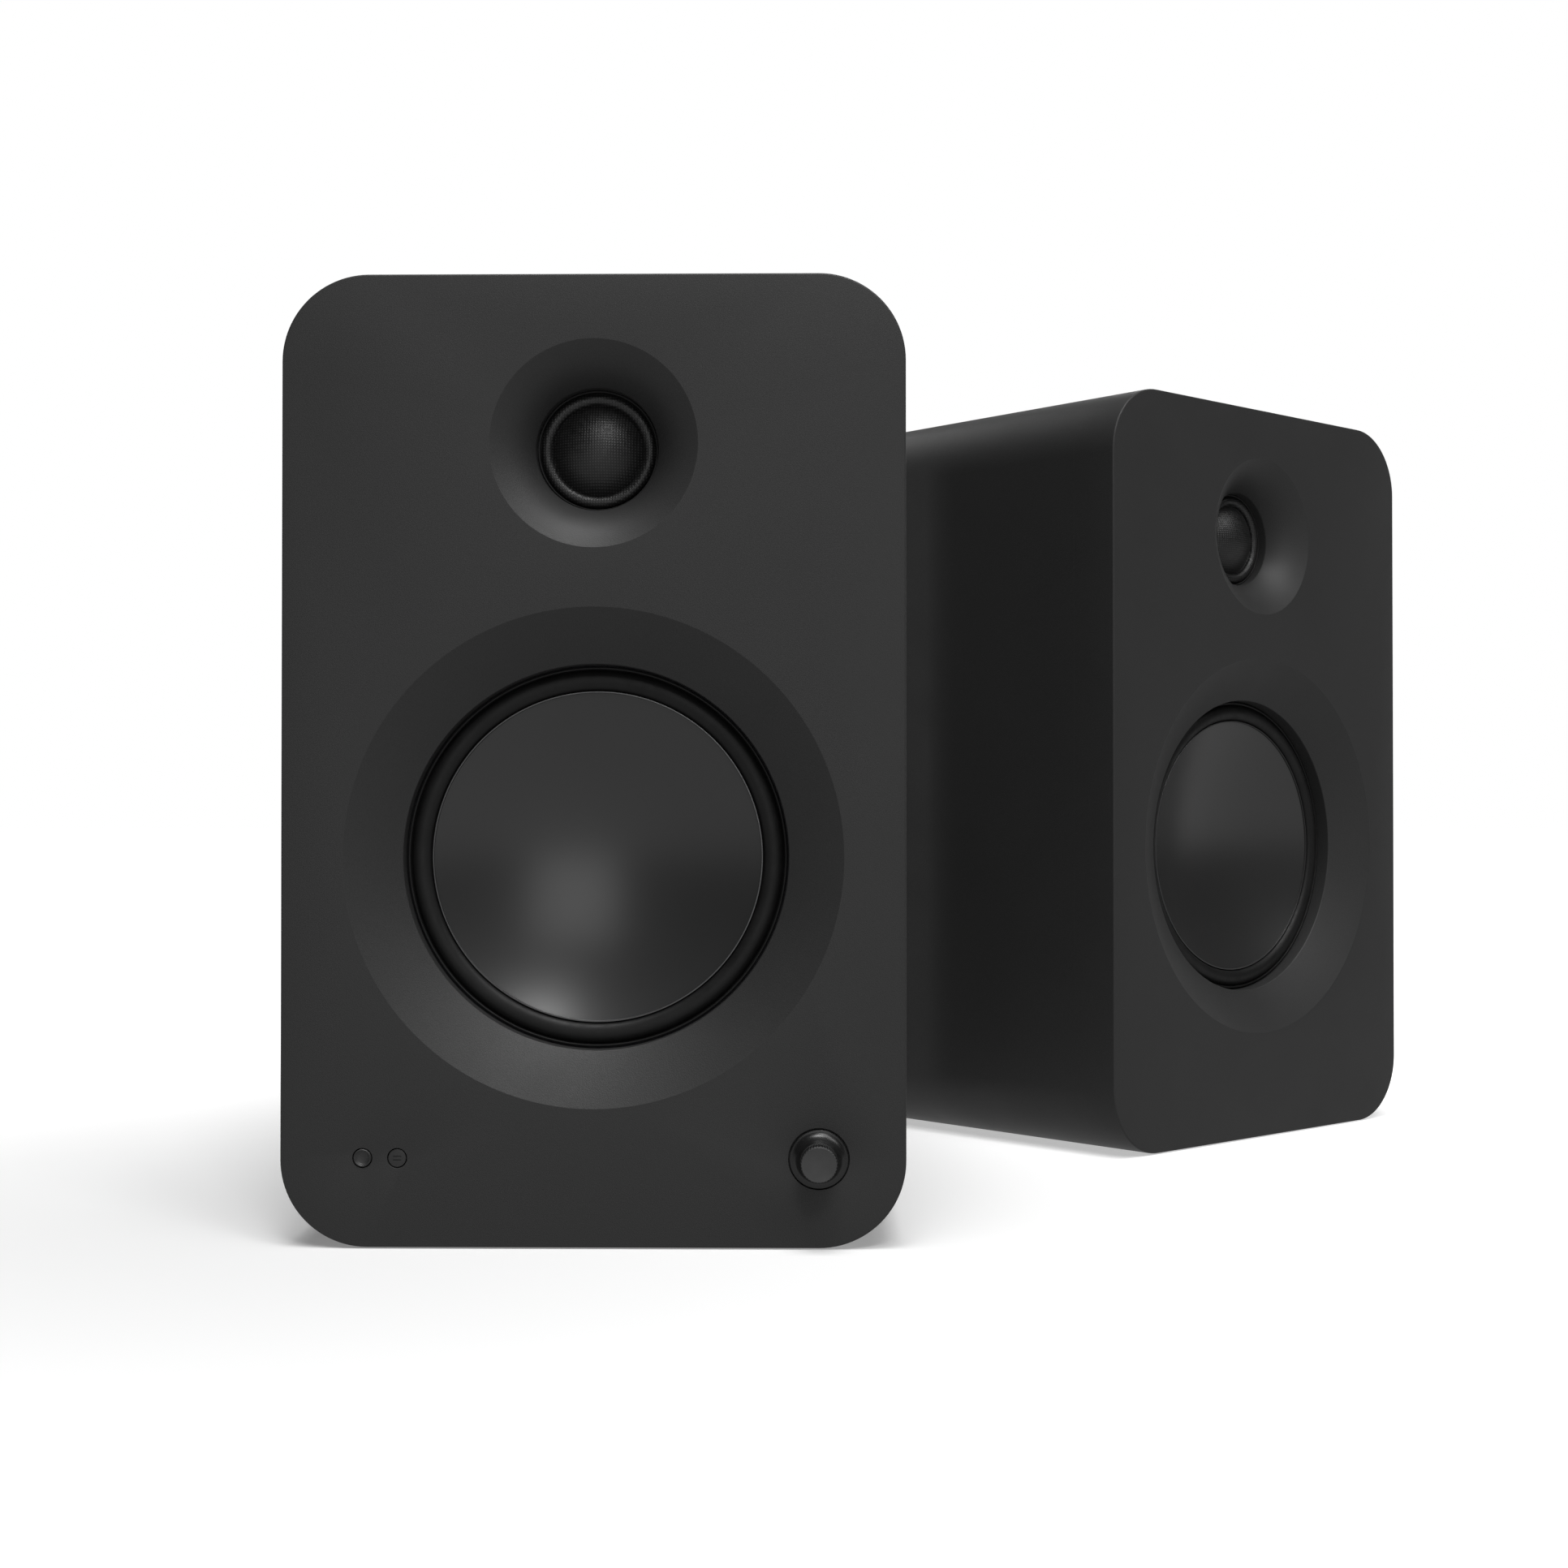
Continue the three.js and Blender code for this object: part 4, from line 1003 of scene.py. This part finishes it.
def amp_plate():
    """The plate, its six screws and a thin raised frame round the line row and the digital row of sockets."""
    width, height, corner, z = (PLATE[key] for key in ("width", "height", "corner", "z"))
    thick, fillet, screw_inset, hole_corner = 2, 0.35, 5, 0.6
    holes = [disc_at(RCA_RADIUS + GAP, *place) for place in rca_places()]
    holes.append(disc_at(AUX_RADIUS + GAP, *SOCKETS["aux"]))
    for size, name in ((HDMI_SIZE, "hdmi"), (USB_SIZE, "usb"), (OPTICAL_SIZE, "optical"),
                       (INLET_SIZE, "inlet"), (BLOCK_SIZE, "terminals")):
        holes.append(slot_at(*grown(size, GAP), hole_corner, *SOCKETS[name]))
    trim("amp_panel", PLATE_COAT, 0, z, (width, height), corner, PLATE_BACK - thick, PLATE_BACK, fillet,
         [(hole, None) for hole in holes], ["amp_plate"])
    for row in (-1, 0, 1):
        for side in (-1, 1):
            x, up = side * (width / 2 - screw_inset), z + row * (height / 2 - screw_inset)
            screw(f"amp_screw_{row + 1}_{side + 1}", "main", x, PLATE_BACK, up)
    size, line, x, front, back = (76, 20), 0.6, -6, PLATE_BACK - 0.1, PLATE_BACK + 0.25
    for name, row in (("line", "rca"), ("digital", "hdmi")):
        up = SOCKETS[row][1]
        inside = slot_at(*grown(size, -line), 3 - line, x, up)
        trim(f"amp_{name}_frame", PLATE_COAT, x, up, size, 3, front, back, 0.15, [(inside, None)])


def rca_sockets():
    """Three sockets on one body: a gold barrel round a coloured bush, with a coloured collar."""
    colours = {"sub": ORANGE, "left": WHITE_PLASTIC, "right": RED}
    x, z = SOCKETS["rca"]
    trim("rca_body", PLASTIC, x, z, (46, 13), 1, 206, PLATE_BACK - 2.3, nodes=["rca_socket_block"])
    outer, inner, tip = RCA_RADIUS, RCA_RADIUS - 0.7, 233
    barrel = [(inner, 212), (outer, 212), (outer, tip, 0.25), (inner, tip, 0.2)]
    pin_hole, pin_end, bush_radius, bush_back, bush_front = 1.8, 224, 3.4, 213, 232.3
    bush = [(0, pin_end), (pin_hole, pin_end), (pin_hole, bush_front, 0.3)]
    bush += [(bush_radius, bush_front, 0.2), (bush_radius, bush_back), (0, bush_back)]
    bore, rim, low, step, top = RCA_RADIUS + 0.15, 6.4, FLANGE - 0.25, FLANGE + 0.9, FLANGE + 1.4
    collar = [(bore, low), (rim, low), (rim, step, 0.4), (4.9, top, 0.3), (bore, top)]
    for (name, colour), (px, pz) in zip(colours.items(), rca_places()):
        rod(f"rca_{name}_barrel", GOLD, barrel, px, pz)
        rod(f"rca_{name}_insulator", colour, bush, px, pz)
        rod(f"rca_{name}_collar", colour, collar, px, pz)


def aux_socket():
    """A 3.5 mm jack in a threaded barrel with a hexagonal nut."""
    x, z = SOCKETS["aux"]
    bore, front, face, shoulder, body, back = 1.8, 212, 227, 214, 4.5, 208
    profile = [(0, front), (bore, front), (bore, face - 0.3), (2.1, face, 0.1), (AUX_RADIUS, face, 0.3)]
    profile += [(AUX_RADIUS, shoulder), (body, shoulder), (body, back), (0, back)]
    rod("aux_barrel", PLASTIC, profile, x, z, ["aux_jack"])
    nut = Shell()
    low, top = FLANGE - 0.3, FLANGE + 1.2
    corners = ((5.4, low), (5.4, FLANGE + 0.9), (5.1, top))
    sides = [nut.ring(circle(r, depth, x, z, 6)) for r, depth in corners]
    inner = [nut.ring(circle(AUX_RADIUS + 0.1, depth, x, z, SMALL)) for depth in (top, low)]
    nut.join(*sides)
    nut.join(*inner)
    nut.flat(sides[-1], inner[0])
    nut.flat(sides[0], inner[1])
    put(nut.finish("aux_nut", STEEL), "main", "main", "steel")


def tongue_socket(name, node, size, corner, wall, front, tongue, contacts):
    """A metal shell with a dark contact tongue inside its mouth."""
    x, z = SOCKETS[name]
    width, height = size
    mouth = [(slot_at(width - 2 * wall, height - 2 * wall, max(corner - wall, 0.2), x, z), front + 6)]
    trim(f"{name}_shell", STEEL, x, z, size, corner, front, FLANGE + 0.8, 0.15, mouth, [node])
    blade = (width - 2 * wall - 3, tongue)
    trim(f"{name}_tongue", PLASTIC, x, z, blade, 0.2, front + 5.9, FLANGE - 2, 0.12)
    pitch = blade[0] / (contacts + 1)
    for i in range(contacts):
        at = x - blade[0] / 2 + (i + 1) * pitch
        size = (pitch * 0.5, 0.12)
        trim(f"{name}_contact_{i + 1}", GOLD, at, z + tongue / 2, size, 0.03, front + 6.2, FLANGE - 2.4, 0)


def optical():
    """A square optical socket with a thin rim."""
    x, z = SOCKETS["optical"]
    mouth = slot_at(*OPTICAL_MOUTH, x, z)
    trim("optical_body", PLASTIC, x, z, OPTICAL_SIZE, 0.8, 208, FLANGE + 1, holes=[(mouth, 216)],
         nodes=["optical_socket"])
    rim_front, rim_back = FLANGE + 0.95, FLANGE + 1.35
    trim("optical_rim", DULL_RING, x, z, (10.4, 10.4), 1.6, rim_front, rim_back, 0.2, [(mouth, None)])


def mains_inlet():
    """Figure-8 mains inlet and the well of the power switch, in one moulding."""
    x, z = SOCKETS["inlet"]
    body, back, pin_apart, pin_radius, pin_front = 209, FLANGE + 1.6, 4.3, 1.2, 211
    mouth, well = slot_at(*INLET_MOUTH, INLET_X, z), slot_at(*SWITCH_WELL, SWITCH_X, z)
    through, blind = [(mouth, None), (well, None)], [(mouth, 212), (well, 213)]
    trim("inlet_flange", PLASTIC, x, z, grown(INLET_SIZE, BORDER), 3, FLANGE, back, 0.5, through)
    trim("inlet_body", PLASTIC, x, z, INLET_SIZE, 1, body, FLANGE + 0.05, 0, blind, ["ac_inlet"])
    pin = [(0, pin_front), (pin_radius, pin_front), (pin_radius, back - 4, 0.7), (0, back - 4)]
    for i, side in enumerate((-pin_apart, pin_apart)):
        rod(f"inlet_pin_{i + 1}", STEEL, pin, INLET_X + side, z, sides=32)


def rocker_switch():
    """A rocker with a shallow V face, tilted to its off side, with a bar and a ring as generic marks."""
    z = SOCKETS["inlet"][1]
    pivot, tilt = FLANGE - 5, math.radians(8)
    face, dip, half, width, bevel = FLANGE + 1.2 - pivot, 1.4, 8.4, 10.4, 0.25
    root, root_depth, lip = 7.2, -3, 0.4
    side = [(-root, root_depth), (-half, face - lip), (-half + lip, face - 0.05)]
    side += [(half * i / 8, face - dip * (1 - abs(i) / 8)) for i in range(-7, 8)]
    side += [(half - lip, face - 0.05), (half, face - lip), (root, root_depth)]
    shell = Shell()
    rings = []
    edge, inner = width / 2, width / 2 - bevel
    for across, inset in ((-edge, bevel), (-inner, 0), (inner, 0), (edge, bevel)):
        ring = [(across, depth - inset * (depth > 0), up * (1 - inset / half)) for up, depth in side]
        rings.append(shell.ring(ring))
    shell.join(*rings)
    shell.flat(rings[0])
    shell.flat(rings[-1])
    place = Matrix.Translation(Vector((SWITCH_X, pivot, z)) * MM) @ Matrix.Rotation(tilt, 4, "X")
    piece = shell.finish("rocker_cap", PLASTIC, 25)
    piece.matrix_world = place
    put(piece, "main", "power_rocker", "plastic_black", "power_rocker")
    lean = math.atan2(dip, half)
    for name, up, size, hollow in (("on", 4.6, (0.5, 2.6), None), ("off", -4.6, (2.8, 2.8), 1.0)):
        shell = Shell()
        holes = [(disc_at(hollow, 0, 0), None)] if hollow else ()
        slab(shell, size, min(size) / 2 - 0.02, -0.06, 0.05, 0, 0, 0, holes, 12)
        mark = shell.finish(f"rocker_mark_{name}", WHITE_PLASTIC)
        slope = Matrix.Rotation(-math.copysign(lean, up), 4, "X")
        depth = face - dip * (1 - abs(up) / half)
        mark.matrix_world = place @ Matrix.Translation(Vector((0, depth, up)) * MM) @ slope
        put(mark, "main", "power_rocker", "plastic_black")


FLUTES, FLUTE_STEPS = 18, 8


def fluted(shell, radius, depth, x, z, height):
    """A ring with shallow round flutes cut into it."""

    def radius_at(i):
        return radius - height * max(0.0, math.sin(math.tau * i / FLUTE_STEPS)) ** 2

    return shell.ring(wavy(radius_at, FLUTES * FLUTE_STEPS, depth, x, z))


def terminal_cap(name, material, x, z):
    """A fluted hollow cap that stands on a plain collar."""
    shell = Shell()

    def plain(radius, depth):
        return shell.ring(circle(radius, depth, x, z, FLUTES * FLUTE_STEPS))

    rings = [plain(2.4, 227.6), plain(6.0, 227.6), plain(6.2, 227.8), plain(6.2, 228.8), plain(5.6, 229.1)]
    for radius, depth, height in ((5.6, 229.4, 0), (6.4, 229.8, 0.5), (6.4, 239.2, 0.5), (6.1, 239.8, 0.25)):
        rings.append(fluted(shell, radius, depth, x, z, height))
    rings += [plain(5.6, 240), plain(3.0, 240), plain(2.6, 239.7), plain(2.4, 239.4)]
    shell.join(*rings, rings[0])
    return shell.finish(name, material, 30)


def terminals(who, x, z):
    """A moulded block with two threaded studs and their caps."""
    back, floor, screw_x = FLANGE + 2, FLANGE + 0.9, BLOCK_SIZE[0] / 2 + 0.1
    recess = [(disc_at(7.6, x + side * STUD_X, z), floor) for side in (-1, 1)]
    size = grown(BLOCK_SIZE, BORDER)
    trim(f"{who}_terminal_flange", PLASTIC, x, z, size, 3.5, FLANGE, back, 0.5, recess, who=who)
    trim(f"{who}_terminal_body", PLASTIC, x, z, BLOCK_SIZE, 1, 214, FLANGE + 0.05, 0,
         nodes=[f"{who}_terminal_block"], who=who)
    for side in (-1, 1):
        screw(f"{who}_terminal_screw_{side + 1}", who, x + side * screw_x, back, z, 1.6)
    root, crest, pitch, first = 1.85, 2.05, 0.5, 226
    threads = []
    for i in range(30):
        threads += [(root, first + pitch * i), (crest, first + pitch / 2 + pitch * i)]
    end, well = 241, 238
    stud = [(0, 220), (2, 220)] + threads + [(1.9, end, 0.2), (1.1, end), (1.1, well), (0, well)]
    washer = [(2.2, floor), (4.6, floor), (4.6, floor + 0.8, 0.2), (2.2, floor + 0.8)]
    caps = (("red", RED, "terminal_red", -1), ("black", PLASTIC, "plastic_black", 1))
    for colour, finish, slot, side in caps:
        px = x + side * STUD_X
        put(turned(f"{who}_stud_{colour}", GOLD, stud, px, z, 40, 20), who, who, "steel")
        cap = terminal_cap(f"{who}_cap_{colour}_grip", finish, px, z)
        put(cap, who, f"{who}_cap_{colour}", slot, f"{who}_terminal_cap_{colour}")
        rod(f"{who}_washer_{colour}", GOLD, washer, px, z, sides=HEAD_SIDES, who=who)


def port_screws(who):
    out, radius = 32.4, 1.7
    for i in range(4):
        turn = math.pi / 4 + math.pi / 2 * i
        x, z = out * math.cos(turn), PORT_Z + out * math.sin(turn)
        screw(f"{who}_port_screw_{i + 1}", who, x, PORT_BACK, z, radius)


# ---- carried-over solids ----
def dress(material, *names):
    for name in names:
        node = frame["nodes"][name]
        node.data.materials.clear()
        node.data.materials.append(material)


def dress_carried():
    for who in FRAMES:
        dress(DARK_METAL, f"{who}_woofer_basket", f"{who}_tweeter_magnet")
        dress(FERRITE, f"{who}_woofer_magnet")
        dress(STEEL, f"{who}_woofer_pole_yoke")
        dress(COPPER, f"{who}_woofer_voice_coil")
    dress(STEEL, "encoder_shaft")
    dress(PLASTIC, "encoder_rotor", "encoder_housing")
    dress(BOARD, "control_board", "amp_board", "power_supply", "crossover_board")


# ---- everything ----
make_camera()
make_lights(make_floor())
make_world()

# The width, height and middle of each rear panel's opening.
REAR_OPENINGS = {
    "main": (108, 134, PLATE["z"]),
    "satellite": (*grown(BLOCK_SIZE, GAP), SATELLITE_TERMINALS_Z),
}
for who in FRAMES:
    baffle(who)
    sleeve(who)
    rear_panel(who, REAR_OPENINGS[who])
    port(who)
    feet(who)
    woofer_cone(who)
    woofer_surround(who)
    woofer_spider(who)
    tweeter(who)
    port_screws(who)
knob()
button()
lens()
amp_plate()
rca_sockets()
aux_socket()
tongue_socket("hdmi", "hdmi_socket", HDMI_SIZE, 1.4, 0.7, 207, 1.4, 10)
tongue_socket("usb", "usb_c_socket", USB_SIZE, 1.95, 0.5, 209, 0.8, 6)
optical()
mains_inlet()
rocker_switch()
terminals("main", *SOCKETS["terminals"])
terminals("satellite", 0, SATELLITE_TERMINALS_Z)
dress_carried()
